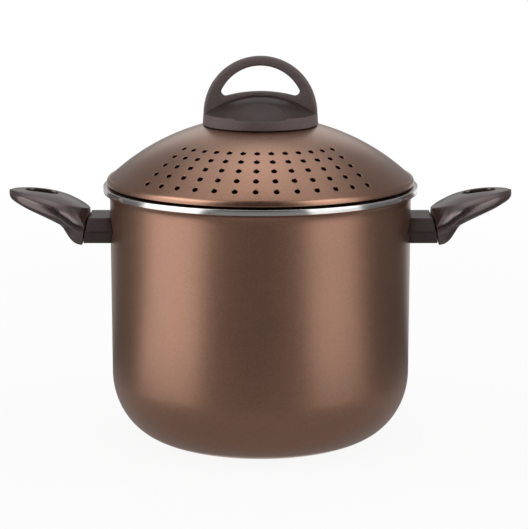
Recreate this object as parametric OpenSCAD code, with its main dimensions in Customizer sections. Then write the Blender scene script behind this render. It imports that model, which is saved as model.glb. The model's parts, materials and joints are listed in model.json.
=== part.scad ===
// Tall two-handled pasta pot with a perforated strainer lid. Turning the arched knob drives
// two latch bars under the lid out below keepers on the wall, so that the pot can be drained.

/* [Pot] */
// Outside radius of the wall
pot_r = 112.4; // [105:0.1:122]
// Height of the rim's flat top
pot_h = 191; // [175:1:220]
// Thickness of the wall
wall_t = 2.8; // [1.8:0.1:4]
// Thickness of the floor
floor_t = 4.5; // [3:0.1:8]
// Sideways reach of the rounded foot
foot_r = 41; // [25:1:55]
// Height of the rounded foot
foot_h = 49; // [30:1:60]

/* [Rim] */
// How far the rim stands out from the wall
lip_out = 4.8; // [3.5:0.1:8]
// Height of the rim's polished edge
lip_h = 3.9; // [2:0.1:5]
// Height of the curve that carries the rim
flare_h = 8; // [5:0.5:12]
// Radius of the rounded inner edge of the mouth
mouth_round = 3; // [1.5:0.1:3.5]

/* [Lid] */
// Radius of the dome
dome_r = 165; // [155:1:185]
// Thickness of the lid's sheet
lid_t = 1.2; // [0.8:0.1:1.8]
// Distance of the lid's rolled edge inside the rim
edge_inset = 2.4; // [1:0.1:3.5]
// Radius of the rolled edge
edge_round = 4.5; // [3.5:0.1:6]
// Height of the rolled edge's centre above the rim
edge_up = 1.5; // [0.5:0.1:2.5]
// Depth of the skirt inside the mouth
skirt_d = 13; // [8:0.5:18]
// Gap between the skirt and the wall
skirt_gap = 0.6; // [0.4:0.1:1]

/* [Strainer] */
// Diameter of a strainer hole
hole_d = 4; // [2.5:0.1:4.5]
// Rows of holes
hole_rows = 5; // [1:1:5]
// Holes in each row
hole_columns = 13; // [3:1:21]
// Distance along the dome from its middle to the first row
first_row = 75.2; // [66:0.1:76]
// Distance along the dome between rows
row_pitch = 10.1; // [7:0.1:10.2]
// Angle between columns
column_pitch = 7.9; // [7:0.1:9]
// Turn of the pattern away from the front
pattern_turn = -1.8; // [-5:0.1:5]

/* [Knob] */
// Radius of the knob's base at its bottom edge
knob_r = 43; // [40:0.5:48]
// Height of the base's band
band_h = 8.2; // [6:0.1:12]
// Draft of the band
band_draft = 0.6; // [0:0.1:1.5]
// Rise of the base's crown above the band
crown_h = 14; // [10:0.5:17]
// Thickness of the base's shell
knob_wall = 3; // [2:0.1:4]
// Width of the arch from front to back
arch_w = 15; // [10:0.5:20]
// Thickness of the arch at its top
arch_top_t = 6.5; // [5:0.1:9]
// Thickness of the arch at its feet
arch_side_t = 10.2; // [8:0.1:12]
// Rounding of the arch's outer edges
arch_round = 3; // [1:0.1:4]
// Height of the finger opening's floor above the crown
finger_floor_up = 2; // [1:0.1:4]
// Radius of the finger opening's floor
finger_floor_r = 96; // [80:1:140]
// Rounding of the finger opening's corners
finger_round = 3.5; // [2.5:0.1:5]
// Running gap between the knob and the dome
knob_gap = 0.5; // [0.4:0.1:1]

/* [Latch] */
// Turn of the knob that locks the lid, in degrees
lock_turn = 60; // [45:1:75]
// Travel of each latch
latch_travel = 6; // [4:0.1:6]
// Radius of the spindle
spindle_r = 6; // [5:0.1:7]
// Height of the wave spring
spring_h = 3; // [2.8:0.1:4]
// Thickness of the cam plate
cam_t = 2; // [1.5:0.1:3]
// Distance of a cam pin from the axis when the lid is free
pin_start = 13; // [12.5:0.1:15]
// Radius of a cam pin
pin_r = 2.4; // [2:0.1:2.8]
// Width of a latch bar
bar_w = 12; // [9:0.5:13]
// Thickness of a latch bar
bar_t = 2; // [1.5:0.1:2.5]
// Thickness of the mechanism's cover
cover_t = 1.2; // [0.8:0.1:1.6]
// Radius of the mechanism cover's wall
cover_r = 31.5; // [30:0.1:32]
// Depth of the latch tips below the rim
latch_depth = 26; // [22:0.5:30]
// Overlap of a locked latch under its keeper
latch_grip = 4.5; // [3:0.1:4.5]
// Thickness of a keeper
keeper_t = 1.2; // [1:0.1:1.8]

/* [Side handles] */
// Depth of the neck's middle below the rim
handle_drop = 32.6; // [32:0.2:40]
// Width of the neck
neck_w = 56; // [50:1:60]
// Width of the flat on the neck's top
neck_top_w = 36; // [34:0.5:42]
// Height of the neck
neck_h = 19; // [18:0.2:24]
// Length of the neck from the wall to the grip
neck_l = 17.7; // [15:0.1:24]
// Thickness of the neck's shell
neck_wall = 2; // [1.6:0.1:2.4]
// Lean of the joint between neck and grip, in degrees
seat_lean = 11.2; // [5:0.1:15]
// Length of the grip
grip_l = 58; // [54:0.5:70]
// Rise of the grip's tip above the neck's middle
grip_rise = 28.8; // [26:0.2:32]
// Width of the grip
grip_w = 58; // [56:1:66]
// Width of the grip's top face, from crease to crease
grip_face_w = 47; // [42:1:52]
// Radius of the crown across the grip's top
grip_crown = 70; // [60:1:200]
// Length of the finger hole
hole_l = 24; // [20:0.5:26]
// Width of the finger hole
hole_w = 15; // [12:0.5:19]
// Width of the steel tongue inside the grip
tongue_w = 18; // [14:0.5:19]
// Thickness of the steel tongue
tongue_t = 4; // [3:0.1:5]
// Thickness of the bracket's foot
bracket_t = 2.5; // [2:0.1:3.5]
// Angle from the handle's middle to each rivet
rivet_angle = 7.4; // [7.2:0.1:8]
// Radius of a rivet's shank
rivet_r = 2.5; // [2:0.1:3]
// Radius of the grip screw's shank
screw_r = 2.5; // [2:0.1:3]

/* [Hidden] */
$fn = 96;

// Clearance between a shaft and its hole
fit = 0.05;
// Gap between flat pieces that slide past each other
slide_gap = 0.3;
// Small overrun that keeps a cut clear of the face it starts from
over = 1;

// Pot
inner_r = pot_r - wall_t;
lip_r = pot_r + lip_out;
lip_z = pot_h - lip_h;
flare_z = lip_z - flare_h;
foot_steps = 16;
rim_steps = 8;

// Lid
lid_r = lip_r - edge_inset;
edge_x = lid_r - edge_round;
edge_z = pot_h + edge_up;
dome_z = edge_z - sqrt(pow(dome_r - edge_round, 2) - edge_x * edge_x);
skirt_r = inner_r - skirt_gap;
flat_r = 14;
flat_z = dome_height(flat_r, dome_r);
under_z = flat_z - lid_t;

// Bush and spindle
bush_wall = 1.4;
bush_r = spindle_r + fit + bush_wall;
bush_flange_t = 1;
flat_margin = 2;
bush_flange_r = flat_r - flat_margin;
hub_z = flat_z + bush_flange_t;
hub_r = bush_flange_r - 1;
bush_tail = 1.5;
spindle_rise = 5.7;
spindle_top = hub_z + spindle_rise;
insert_r = 4.5;
insert_l = 9.5;

// Mechanism levels, from the dome down
cam_top = under_z - spring_h;
cam_bottom = cam_top - cam_t;
bar_gap = 0.5;
bar_top = cam_bottom - bar_gap;
bar_mid = bar_top - bar_t / 2;
cover_top = bar_top - bar_t - slide_gap;
cover_bottom = cover_top - cover_t;
slot_gap = 0.3;
pin_end = pin_start + latch_travel;
cam_rim = 3.3;
cam_r = pin_end + pin_r + slot_gap + cam_rim;
pin_stem_r = 1.5;
washer_r = 6.5;
washer_t = 1;
knob_screw_r = 3;
knob_screw_head_r = 5;
knob_screw_head_h = 3.5;

// Cover
cover_hole_r = 10;
cover_flange = 6.7;
cover_rivet_out = 4.2;
cover_rivet_at = cover_r + cover_rivet_out;
cover_rivet_r = 1.5;
cover_head_r = 2.6;
cover_head_h = 1.2;

// Knob
knob_bottom = dome_height(knob_r, dome_r + knob_gap);
band_top = knob_bottom + band_h;
crown_base_r = knob_r - band_draft;
crown_r = (crown_base_r * crown_base_r + crown_h * crown_h) / (2 * crown_h);
crown_z = band_top + crown_h - crown_r;
arch_inset = 0.2;
arch_r = crown_base_r - arch_inset;
finger_r = arch_r - arch_side_t;
finger_z = band_top + arch_side_t - arch_top_t;
finger_floor_z = band_top + crown_h + finger_floor_up - finger_floor_r;
corner_a = finger_r - finger_round;
corner_b = finger_floor_r + finger_round;
corner_z = (corner_b * corner_b - corner_a * corner_a + finger_z * finger_z
    - finger_floor_z * finger_floor_z) / (2 * (finger_z - finger_floor_z));
corner_x = sqrt(corner_a * corner_a - pow(corner_z - finger_z, 2));

// Latches and keepers
keeper_face = inner_r - keeper_t;
latch_clear = 1.6;
latch_end = keeper_face - latch_clear;
latch_start = latch_end - latch_travel;
shelf_x = latch_end - latch_grip;
bolt_mid = pot_h - latch_depth - slide_gap - bar_t / 2;
leg_gap = 0.5;
leg_x = shelf_x - leg_gap - bar_t / 2 - latch_travel;
bar_tail = 4;
bar_inner = pin_start - bar_tail;
bend_out = 2;
bar_bend = cover_r + bend_out;
leg_drop = 6;
leg_top = dome_height(leg_x + latch_travel, dome_r - lid_t) - leg_drop;
shelf_z = pot_h - latch_depth;
keeper_w = 40;
shelf_margin = 5;
shelf_w = bar_w + 2 * shelf_margin;
keeper_drop = 7;
neck_z = pot_h - handle_drop;
keeper_bottom = neck_z - keeper_drop;

// Handles
neck_mid_x = pot_r + neck_l;
seat_tan = tan(seat_lean);
grip_mid = 1 - grip_w / (2 * grip_l);
face_mid = 0.343;
heel_low = neck_h / 2 + 1.6;
heel_high = neck_h / 2 + 4.9;
heel_face_w = 18;
lean_end = 0.38;
ridge_h = 3;
ridge_share = 0.55;
bottom_share = 0.62;
hole_reach = 33.5;
hole_x = neck_mid_x + hole_reach;
tongue_reach = 11.8;
tongue_end = neck_mid_x + tongue_reach;
screw_inset = 5;
grip_screw_x = tongue_end - screw_inset;
grip_head_r = 3.2;
grip_head_h = 3;
grip_head_sink = 2.3;
grip_head_z = neck_z - neck_h / 2 + grip_head_sink;
rivet_head_r = 4;
rivet_head_h = 2.2;
inner_head_h = 1.6;
head_sink = 0.15;
bracket_clear = 1.9;
bracket_w = neck_top_w + 1;
bracket_h = neck_h - 2 * neck_wall - 2 * bracket_clear;

pot_bronze = [0.43, 0.32, 0.27];
lid_bronze = [0.52, 0.39, 0.33];
grip_brown = [0.27, 0.23, 0.22];

// Height of a sphere of the dome's centre at distance r from the axis
function dome_height(r, radius) = dome_z + sqrt(radius * radius - r * r);

// Point on a cubic curve through control points a, b, c and d
function bezier(a, b, c, d, t) =
    pow(1 - t, 3) * a + 3 * t * pow(1 - t, 2) * b + 3 * t * t * (1 - t) * c + pow(t, 3) * d;

// Unit vector square to the stretch between two points
function square_to(from, to) = [from.y - to.y, to.x - from.x] / norm(to - from);

// Point beside a corner of a path, where strips offset by a distance meet
function beside(path, i, distance) =
    let (
        before = square_to(path[max(i - 1, 0)], path[max(i, 1)]),
        after = square_to(path[min(i, len(path) - 2)], path[min(i + 1, len(path) - 1)])
    )
    path[i] + distance * (before + after) / (1 + before * after);

// Distance of the cam slot from the axis at a given turn of the knob
function slot_radius(turn) = pin_start + latch_travel * turn / lock_turn;

// Point on the foot's quarter ellipse, drawn in by the thickness of the wall and the floor
function foot_point(a, side, bottom) =
    [pot_r - foot_r + (foot_r - side) * sin(a), foot_h - (foot_h - bottom) * cos(a)];

// Outline of half the pot's section, from the middle of the base over the rim to the floor
function pot_outline() = concat(
    [[0, 0]],
    [for (i = [0 : foot_steps]) foot_point(90 * i / foot_steps, 0, 0)],
    [for (i = [0 : rim_steps])
        let (a = 90 * i / rim_steps) [lip_r - lip_out * cos(a), flare_z + flare_h * sin(a)]],
    [[lip_r, pot_h]],
    [for (i = [0 : rim_steps])
        let (a = 90 * i / rim_steps)
        [inner_r + mouth_round * (1 - sin(a)), pot_h - mouth_round * (1 - cos(a))]],
    [for (i = [foot_steps : -1 : 0]) foot_point(90 * i / foot_steps, wall_t, floor_t)],
    [[0, floor_t]]
);

// Places its children on the named side
module on_side(name) {
    if (name == "left") mirror([1, 0, 0]) children();
    else children();
}

// Puts the z axis on the dome's outward normal, at a distance along the dome and a bearing
module on_dome(distance, bearing) {
    translate([0, 0, dome_z])
        rotate([0, distance / dome_r * 180 / PI, bearing])
            children();
}

// Ring between two radii and two heights
module ring(inside, outside, low, high) {
    translate([0, 0, low])
        difference() {
            cylinder(r = outside, h = high - low);
            translate([0, 0, -over]) cylinder(r = inside, h = high - low + 2 * over);
        }
}

// Pins along the radial axes of the two rivets of a handle
module at_rivets() {
    for (side = [-1, 1])
        rotate([0, 0, side * rivet_angle]) translate([0, 0, neck_z]) rotate([0, 90, 0]) children();
}

// Body of the pot: floor, rounded foot, wall and flanged rim
module pot_body() {
    color(pot_bronze)
    difference() {
        rotate_extrude() polygon(pot_outline());
        for (name = ["left", "right"])
            on_side(name) at_rivets() translate([0, 0, inner_r - over])
                cylinder(r = rivet_r + fit, h = wall_t + 2 * over, $fn = 24);
    }
}

// Section of the lid: domed sheet, flat middle, rolled edge and skirt
module lid_section() {
    edge_way = [edge_x, edge_z - dome_z] / (dome_r - edge_round);
    intersection() {
        translate([0, dome_z])
            difference() {
                circle(r = dome_r);
                circle(r = dome_r - lid_t);
            }
        translate([flat_r, pot_h]) square([skirt_r - flat_r, dome_r]);
    }
    translate([bush_r + fit, under_z]) square([flat_r - bush_r - fit + 0.01, lid_t]);
    intersection() {
        translate([0, dome_z]) circle(r = dome_r);
        polygon([
            [skirt_r - lid_t, pot_h], [edge_x, pot_h], [edge_x, edge_z],
            [0, dome_z] + edge_way * (dome_r + over), [skirt_r - lid_t, edge_z + 2 * skirt_d]
        ]);
    }
    intersection() {
        translate([edge_x, edge_z]) circle(r = edge_round);
        translate([skirt_r, pot_h]) square(2 * edge_round);
    }
    translate([skirt_r - lid_t, pot_h - skirt_d]) square([lid_t, skirt_d + edge_up]);
}

// Perforated lid, with the holes in front and the rivet holes of the cover under the knob
module lid_dome() {
    color(lid_bronze)
    difference() {
        rotate_extrude() lid_section();
        for (row = [0 : hole_rows - 1], column = [0 : hole_columns - 1])
            on_dome(first_row + row * row_pitch,
                    -90 + pattern_turn + (column - (hole_columns - 1) / 2) * column_pitch)
                translate([0, 0, dome_r - lid_t - over])
                    cylinder(d = hole_d, h = lid_t + 2 * over, $fn = 24);
        for (bearing = [45 : 90 : 315])
            on_dome(cover_rivet_at, bearing) translate([0, 0, dome_r - lid_t - over])
                cylinder(r = cover_rivet_r + fit, h = lid_t + 2 * over, $fn = 24);
    }
}

// Flanged bush that carries the knob in the lid's middle
module lid_bush() {
    color([0.85, 0.84, 0.8])
    union() {
        ring(spindle_r + fit, bush_r, under_z - bush_tail, hub_z);
        ring(spindle_r + fit, bush_flange_r, flat_z, hub_z);
    }
}

// Spring between the lid and the cam plate, drawn as the ring that its waves fill
module wave_spring() {
    color("silver") ring(bush_r + fit, bush_flange_r, cam_top, under_z);
}

// Slots of the cover through which the latch bars leave
module bar_ways(low, high) {
    for (name = ["left", "right"])
        on_side(name)
            translate([cover_hole_r + 8, -bar_w / 2 - slide_gap, low])
                cube([cover_r + cover_flange - cover_hole_r - 4, bar_w + 2 * slide_gap, high - low]);
}

// Pressed cup under the lid that carries the latch bars
module mechanism_cover() {
    color("silver")
    difference() {
        union() {
            ring(cover_hole_r, cover_r, cover_bottom, cover_top);
            intersection() {
                ring(cover_r - cover_t, cover_r, cover_bottom, under_z);
                translate([0, 0, dome_z]) sphere(r = dome_r - lid_t);
            }
            intersection() {
                ring(cover_r - cover_t, cover_r + cover_flange, cover_bottom, under_z);
                difference() {
                    translate([0, 0, dome_z]) sphere(r = dome_r - lid_t);
                    translate([0, 0, dome_z]) sphere(r = dome_r - lid_t - cover_t);
                }
            }
        }
        bar_ways(cover_top, under_z + over);
        for (bearing = [45 : 90 : 315])
            on_dome(cover_rivet_at, bearing) translate([0, 0, dome_r - lid_t - cover_t - over])
                cylinder(r = cover_rivet_r + fit, h = cover_t + 2 * over, $fn = 24);
    }
}

// Rivets that hold the cover to the lid
module cover_rivets() {
    color("silver")
    for (bearing = [45 : 90 : 315])
        on_dome(cover_rivet_at, bearing) {
            translate([0, 0, dome_r - lid_t - cover_t - cover_head_h])
                cylinder(r = cover_rivet_r, h = lid_t + cover_t + 2 * cover_head_h, $fn = 24);
            translate([0, 0, dome_r]) cylinder(r = cover_head_r, h = cover_head_h, $fn = 24);
            translate([0, 0, dome_r - lid_t - cover_t - fit - cover_head_h])
                cylinder(r = cover_head_r, h = cover_head_h, $fn = 24);
        }
}

// Half section of the knob's base with its crown
module knob_section() {
    polygon([[0, knob_bottom - over], [knob_r, knob_bottom - over], [knob_r, knob_bottom],
             [crown_base_r, band_top], [0, band_top]]);
    intersection() {
        translate([0, crown_z]) circle(r = crown_r);
        translate([0, band_top - over]) square([crown_base_r, crown_h + 2 * over]);
    }
}

// Half section of the hollow under the crown, around the hub
module knob_hollow() {
    intersection() {
        translate([0, crown_z]) circle(r = crown_r - knob_wall);
        translate([hub_r, knob_bottom - knob_wall])
            square([crown_base_r - knob_wall - hub_r, band_h + crown_h + knob_wall]);
    }
}

// Disc with rounded edges that the arch is cut from, on the y axis
module arch_disc() {
    translate([0, 0, band_top])
        rotate([90, 0, 0])
            rotate_extrude() {
                translate([0, -arch_w / 2]) square([arch_r - arch_round, arch_w]);
                translate([0, arch_round - arch_w / 2]) square([arch_r, arch_w - 2 * arch_round]);
                for (side = [-1, 1])
                    translate([arch_r - arch_round, side * (arch_w / 2 - arch_round)])
                        circle(r = arch_round);
            }
}

// Outline of the finger opening: the arch's circle less the floor's, with rounded corners
module finger_outline() {
    corner = [corner_x, corner_z];
    side_way = [0, finger_z] + (corner - [0, finger_z]) * 1.6;
    floor_way = [0, finger_floor_z] + (corner - [0, finger_floor_z]) * 0.9;
    intersection() {
        difference() {
            translate([0, finger_z]) circle(r = finger_r);
            translate([0, finger_floor_z]) circle(r = finger_floor_r, $fn = 256);
        }
        polygon([
            corner, side_way, [0, finger_z + 2 * finger_r], [-side_way.x, side_way.y],
            [-corner_x, corner_z], [-floor_way.x, floor_way.y], floor_way
        ]);
    }
    for (side = [-1, 1]) translate([side * corner_x, corner_z]) circle(r = finger_round);
}

// Moulded knob: round base with a crown, and an arch over a finger opening
module knob_grip() {
    color(grip_brown)
    difference() {
        union() {
            rotate_extrude() knob_section();
            intersection() {
                arch_disc();
                translate([-knob_r, -knob_r, band_top]) cube(2 * knob_r);
            }
        }
        translate([0, 0, dome_z]) sphere(r = dome_r + knob_gap);
        cylinder(r = bush_flange_r + knob_gap, h = hub_z);
        rotate_extrude() knob_hollow();
        cylinder(r = spindle_r + fit, h = spindle_top);
        cylinder(r = insert_r + fit, h = spindle_top + insert_l);
        rotate([90, 0, 0]) linear_extrude(height = 3 * arch_w, center = true) finger_outline();
    }
}

// Threaded brass insert in the knob's hub
module knob_insert() {
    color("gold") ring(knob_screw_r + fit, insert_r, spindle_top, spindle_top + insert_l);
}

// Tube that turns in the lid's bush and carries the cam plate
module knob_spindle() {
    color("silver") ring(knob_screw_r + fit, spindle_r, cam_top, spindle_top);
}

// Spiral slot with round ends that moves a pin out steadily as the knob turns
module cam_slot() {
    steps = 12;
    lead = atan(latch_travel / (lock_turn * PI / 180) / pin_start);
    half = pin_r / cos(lead) + slot_gap;
    turns = [for (i = [0 : steps]) lock_turn * i / steps];
    polygon(concat(
        [for (a = turns) (slot_radius(a) + half) * [cos(a), sin(a)]],
        [for (i = [steps : -1 : 0]) (slot_radius(turns[i]) - half) * [cos(turns[i]), sin(turns[i])]]
    ));
    for (a = [0, lock_turn])
        translate(slot_radius(a) * [cos(a), sin(a)]) circle(r = pin_r + slot_gap, $fn = 32);
}

// Plate with two spiral slots, clamped to the spindle
module cam_plate() {
    color("silver")
    translate([0, 0, cam_bottom])
        linear_extrude(height = cam_t)
            difference() {
                circle(r = cam_r);
                circle(r = knob_screw_r + fit);
                for (bearing = [0, 180]) rotate(bearing) cam_slot();
            }
}

// Washer under the head of the knob's screw
module screw_washer() {
    color("silver") ring(knob_screw_r + fit, washer_r, cam_bottom - washer_t, cam_bottom);
}

// Screw that clamps the cam plate and the spindle to the knob
module knob_screw() {
    head_z = cam_bottom - washer_t - knob_screw_head_h;
    color("silver")
    difference() {
        union() {
            translate([0, 0, head_z]) cylinder(r = knob_screw_head_r, h = knob_screw_head_h);
            translate([0, 0, head_z])
                cylinder(r = knob_screw_r, h = spindle_top + insert_l - 1 - head_z);
        }
        translate([0, 0, head_z - over])
            cylinder(r = 2.3, h = over + knob_screw_head_h * 0.6, $fn = 6);
    }
}

// Latch bar: from the cam down under the dome, down inside the wall, and out under the keeper
module latch() {
    path = [
        [bar_inner, bar_mid], [bar_bend, bar_mid], [leg_x, leg_top], [leg_x, bolt_mid],
        [latch_start, bolt_mid]
    ];
    last = len(path) - 1;
    color("silver")
    difference() {
        rotate([90, 0, 0])
            linear_extrude(height = bar_w, center = true)
                polygon(concat(
                    [for (i = [0 : last]) beside(path, i, bar_t / 2)],
                    [for (i = [last : -1 : 0]) beside(path, i, -bar_t / 2)]
                ));
        translate([pin_start, 0, bar_mid])
            cylinder(r = pin_stem_r + fit, h = bar_t + 2 * over, center = true, $fn = 24);
    }
}

// Pin that rides in a cam slot, with a stem through its latch bar
module cam_pin() {
    color("silver")
    translate([pin_start, 0, 0]) {
        translate([0, 0, bar_top]) cylinder(r = pin_r, h = cam_top - bar_top, $fn = 32);
        translate([0, 0, bar_top - bar_t]) cylinder(r = pin_stem_r, h = bar_t, $fn = 24);
    }
}

// Keeper inside the wall: a curved plate with a shelf that holds the latch down
module keeper() {
    color("silver")
    difference() {
        intersection() {
            union() {
                difference() {
                    translate([0, -keeper_w / 2, keeper_bottom])
                        cube([inner_r, keeper_w, shelf_z + keeper_t - keeper_bottom]);
                    cylinder(r = keeper_face, h = pot_h);
                }
                translate([shelf_x, -shelf_w / 2, shelf_z])
                    cube([inner_r - shelf_x, shelf_w, keeper_t]);
            }
            cylinder(r = inner_r - fit, h = pot_h);
        }
        at_rivets() translate([0, 0, keeper_face - 2 * over])
            cylinder(r = rivet_r + fit, h = keeper_t + 4 * over, $fn = 24);
    }
}

// Steel bracket in the neck: a curved foot on the wall and a tongue that the grip slips over
module bracket() {
    color("silver")
    difference() {
        union() {
            difference() {
                intersection() {
                    translate([0, -bracket_w / 2, neck_z - bracket_h / 2])
                        cube([2 * pot_r, bracket_w, bracket_h]);
                    cylinder(r = pot_r + bracket_t, h = pot_h);
                }
                cylinder(r = pot_r + fit, h = pot_h);
            }
            translate([pot_r + bracket_t / 2, -tongue_w / 2, neck_z - tongue_t / 2])
                cube([tongue_end - pot_r - bracket_t / 2, tongue_w, tongue_t]);
        }
        at_rivets() translate([0, 0, pot_r - over])
            cylinder(r = rivet_r + fit, h = bracket_t + 2 * over, $fn = 24);
        translate([grip_screw_x, 0, neck_z - tongue_t])
            cylinder(r = screw_r + fit, h = 2 * tongue_t, $fn = 32);
    }
}

// Two rivets through the keeper, the wall and the bracket's foot
module rivets() {
    seat = keeper_face - head_sink;
    color("silver")
    at_rivets() {
        translate([0, 0, seat])
            cylinder(r = rivet_r, h = pot_r + bracket_t + rivet_head_h - seat, $fn = 24);
        translate([0, 0, seat - inner_head_h])
            cylinder(r = rivet_head_r, h = inner_head_h, $fn = 32);
        translate([0, 0, pot_r + bracket_t]) cylinder(r = rivet_head_r, h = rivet_head_h, $fn = 32);
    }
}

// Section of the neck across the pot, drawn in by a thickness
module neck_section(inset) {
    slope = atan(neck_h / (neck_w - neck_top_w));
    half_h = neck_h / 2 - inset;
    half_top = neck_top_w / 2 - inset * tan(slope / 2);
    half_w = neck_w / 2 - inset / sin(slope);
    polygon([
        [half_h, -half_top], [half_h, half_top], [0, half_w],
        [-half_h, half_top], [-half_h, -half_top], [0, -half_w]
    ]);
}

// Block on the pot's side of the leaning joint between neck and grip
module before_seat(shift) {
    translate([neck_mid_x + shift, 0, neck_z])
        rotate([0, -seat_lean, 0])
            translate([-2 * grip_l, -neck_w, -2 * neck_h]) cube([2 * grip_l, 2 * neck_w, 4 * neck_h]);
}

// Hollow neck between the wall and the grip
module neck() {
    color(grip_brown)
    difference() {
        intersection() {
            translate([pot_r - 10, 0, neck_z])
                rotate([0, 90, 0]) mirror([1, 0, 0])
                    linear_extrude(height = neck_l + 20) neck_section(0);
            before_seat(0);
        }
        cylinder(r = pot_r + fit, h = pot_h);
        intersection() {
            translate([pot_r - 10, 0, neck_z])
                rotate([0, 90, 0]) mirror([1, 0, 0])
                    linear_extrude(height = neck_l + 20) neck_section(neck_wall);
            before_seat(-neck_wall);
        }
        translate([pot_r, -tongue_w / 2 - fit, neck_z - tongue_t / 2 - fit])
            cube([grip_l, tongue_w + 2 * fit, tongue_t + 2 * fit]);
    }
}

// Points along curves that follow one another, in shares of the grip's length and rise
function grip_line(curves) =
    let (steps = 12, end = curves[len(curves) - 1][3])
    concat([for (c = curves, i = [0 : steps - 1]) bezier(c[0], c[1], c[2], c[3], i / steps)], [end]);

// Half the grip's width at a share of its length: straight sides, then a round end
function grip_half(s) = s < grip_mid
    ? (neck_w + (grip_w - neck_w) * s / grip_mid) / 2
    : grip_w / 2 * sqrt(1 - pow((s - grip_mid) / (1 - grip_mid), 2));

// Half the width of its top face: narrow at the heel, widest at face_mid, closing at the tip
function face_half(s) = s < face_mid
    ? max(heel_face_w, grip_face_w * pow(sin(90 * s / face_mid), 0.8)) / 2
    : grip_face_w / 2 * pow(1 - pow((s - face_mid) / (1 - face_mid), 1.5), 0.65);

// Section of the grip at a share of its length, given the heights of its top crease and its bottom
function grip_section(s, top, bottom) =
    let (
        face = face_half(s), half = grip_half(s), low = bottom_share * half,
        ridge = bottom + ridge_share * (top - bottom),
        crown = face * face / (2 * grip_crown),
        lean = seat_tan * pow(max(0, 1 - s / lean_end), 2) * (1 + 2 * min(1, s / lean_end)),
        right = [
            [face / 2, top + 0.75 * crown], [face, top], [half, ridge + ridge_h / 2],
            [half, ridge - ridge_h / 2], [low, bottom]
        ],
        left = [for (i = [len(right) - 1 : -1 : 0]) [-right[i].x, right[i].y]]
    )
    [for (p = concat([[0, top + crown]], right, left))
        [neck_mid_x + grip_l * s - (p.y - neck_z) * lean, p.x, p.y]];

// The grip's solid before its hole and slot are cut, as sections from the seat to the blunt tip
module grip_form() {
    crease = grip_line([[[0, heel_high / grip_rise], [0.3, 0.71], [0.62, 0.98], [1, 0.99]]]);
    bottom = grip_line([
        [[0, -heel_low / grip_rise], [0.17, -heel_low / grip_rise], [0.23, -0.12], [0.31, 0.125]],
        [[0.31, 0.125], [0.4, 0.245], [0.8, 0.54], [1, 0.785]]
    ]);
    shares = concat(
        [for (i = [0 : 6]) grip_mid * i / 7],
        [for (a = [0, 14, 28, 42, 55, 67, 77, 85]) grip_mid + (1 - grip_mid) * sin(a)]
    );
    sections = [for (s = shares)
        grip_section(s, neck_z + grip_rise * lookup(s, crease), neck_z + grip_rise * lookup(s, bottom))];
    n = len(sections[0]);
    last = (len(sections) - 1) * n;
    polyhedron(
        points = [for (section = sections, p = section) p],
        faces = concat(
            [[for (k = [n - 1 : -1 : 0]) k], [for (k = [0 : n - 1]) last + k]],
            [for (i = [0 : n : last - n], k = [0 : n - 1]) [i + n + k, i + k, i + (k + 1) % n]],
            [for (i = [0 : n : last - n], k = [0 : n - 1]) [i + n + k, i + (k + 1) % n, i + n + (k + 1) % n]]
        )
    );
}

// Plan of the finger hole: a slot across the grip with round ends
module finger_hole_plan() {
    for (side = [-1, 1])
        translate([hole_x + side * (hole_l - hole_w) / 2, 0]) circle(d = hole_w);
    translate([hole_x - (hole_l - hole_w) / 2, -hole_w / 2]) square([hole_l - hole_w, hole_w]);
}

// Moulded grip with its finger hole, the pocket for the tongue and the hole for its screw
module grip() {
    color(grip_brown)
    difference() {
        grip_form();
        linear_extrude(height = 2 * pot_h) finger_hole_plan();
        translate([pot_r, -tongue_w / 2 - fit, neck_z - tongue_t / 2 - fit])
            cube([tongue_end + slide_gap - pot_r, tongue_w + 2 * fit, tongue_t + 2 * fit]);
        translate([grip_screw_x, 0, 0]) {
            cylinder(r = grip_head_r + 0.6, h = grip_head_z + grip_head_h);
            cylinder(r = screw_r + fit, h = neck_z + 6, $fn = 32);
        }
    }
}

// Screw that holds the grip on the tongue, driven from below
module grip_screw() {
    color("silver")
    translate([grip_screw_x, 0, 0])
        difference() {
            union() {
                translate([0, 0, grip_head_z]) cylinder(r = grip_head_r, h = grip_head_h);
                translate([0, 0, grip_head_z])
                    cylinder(r = screw_r, h = neck_z + 5 - grip_head_z, $fn = 32);
            }
            for (turn = [0, 90])
                translate([0, 0, grip_head_z])
                    rotate([0, 0, turn]) cube([grip_head_r * 1.2, 1, 3], center = true);
        }
}

pot_body();
on_side("left") neck();  // left_neck
on_side("right") neck();  // right_neck
on_side("left") grip();  // left_grip
on_side("right") grip();  // right_grip
on_side("left") bracket();  // left_bracket
on_side("right") bracket();  // right_bracket
on_side("left") keeper();  // left_keeper
on_side("right") keeper();  // right_keeper
on_side("left") rivets();  // left_rivets
on_side("right") rivets();  // right_rivets
on_side("left") grip_screw();  // left_grip_screw
on_side("right") grip_screw();  // right_grip_screw
lid_dome();
lid_bush();
wave_spring();
mechanism_cover();
cover_rivets();
knob_grip();
knob_insert();
knob_spindle();
cam_plate();
screw_washer();
knob_screw();
on_side("left") latch();  // left_latch
on_side("right") latch();  // right_latch
on_side("left") cam_pin();  // left_cam_pin
on_side("right") cam_pin();  // right_cam_pin
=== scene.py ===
import json
import math
from types import SimpleNamespace

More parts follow.
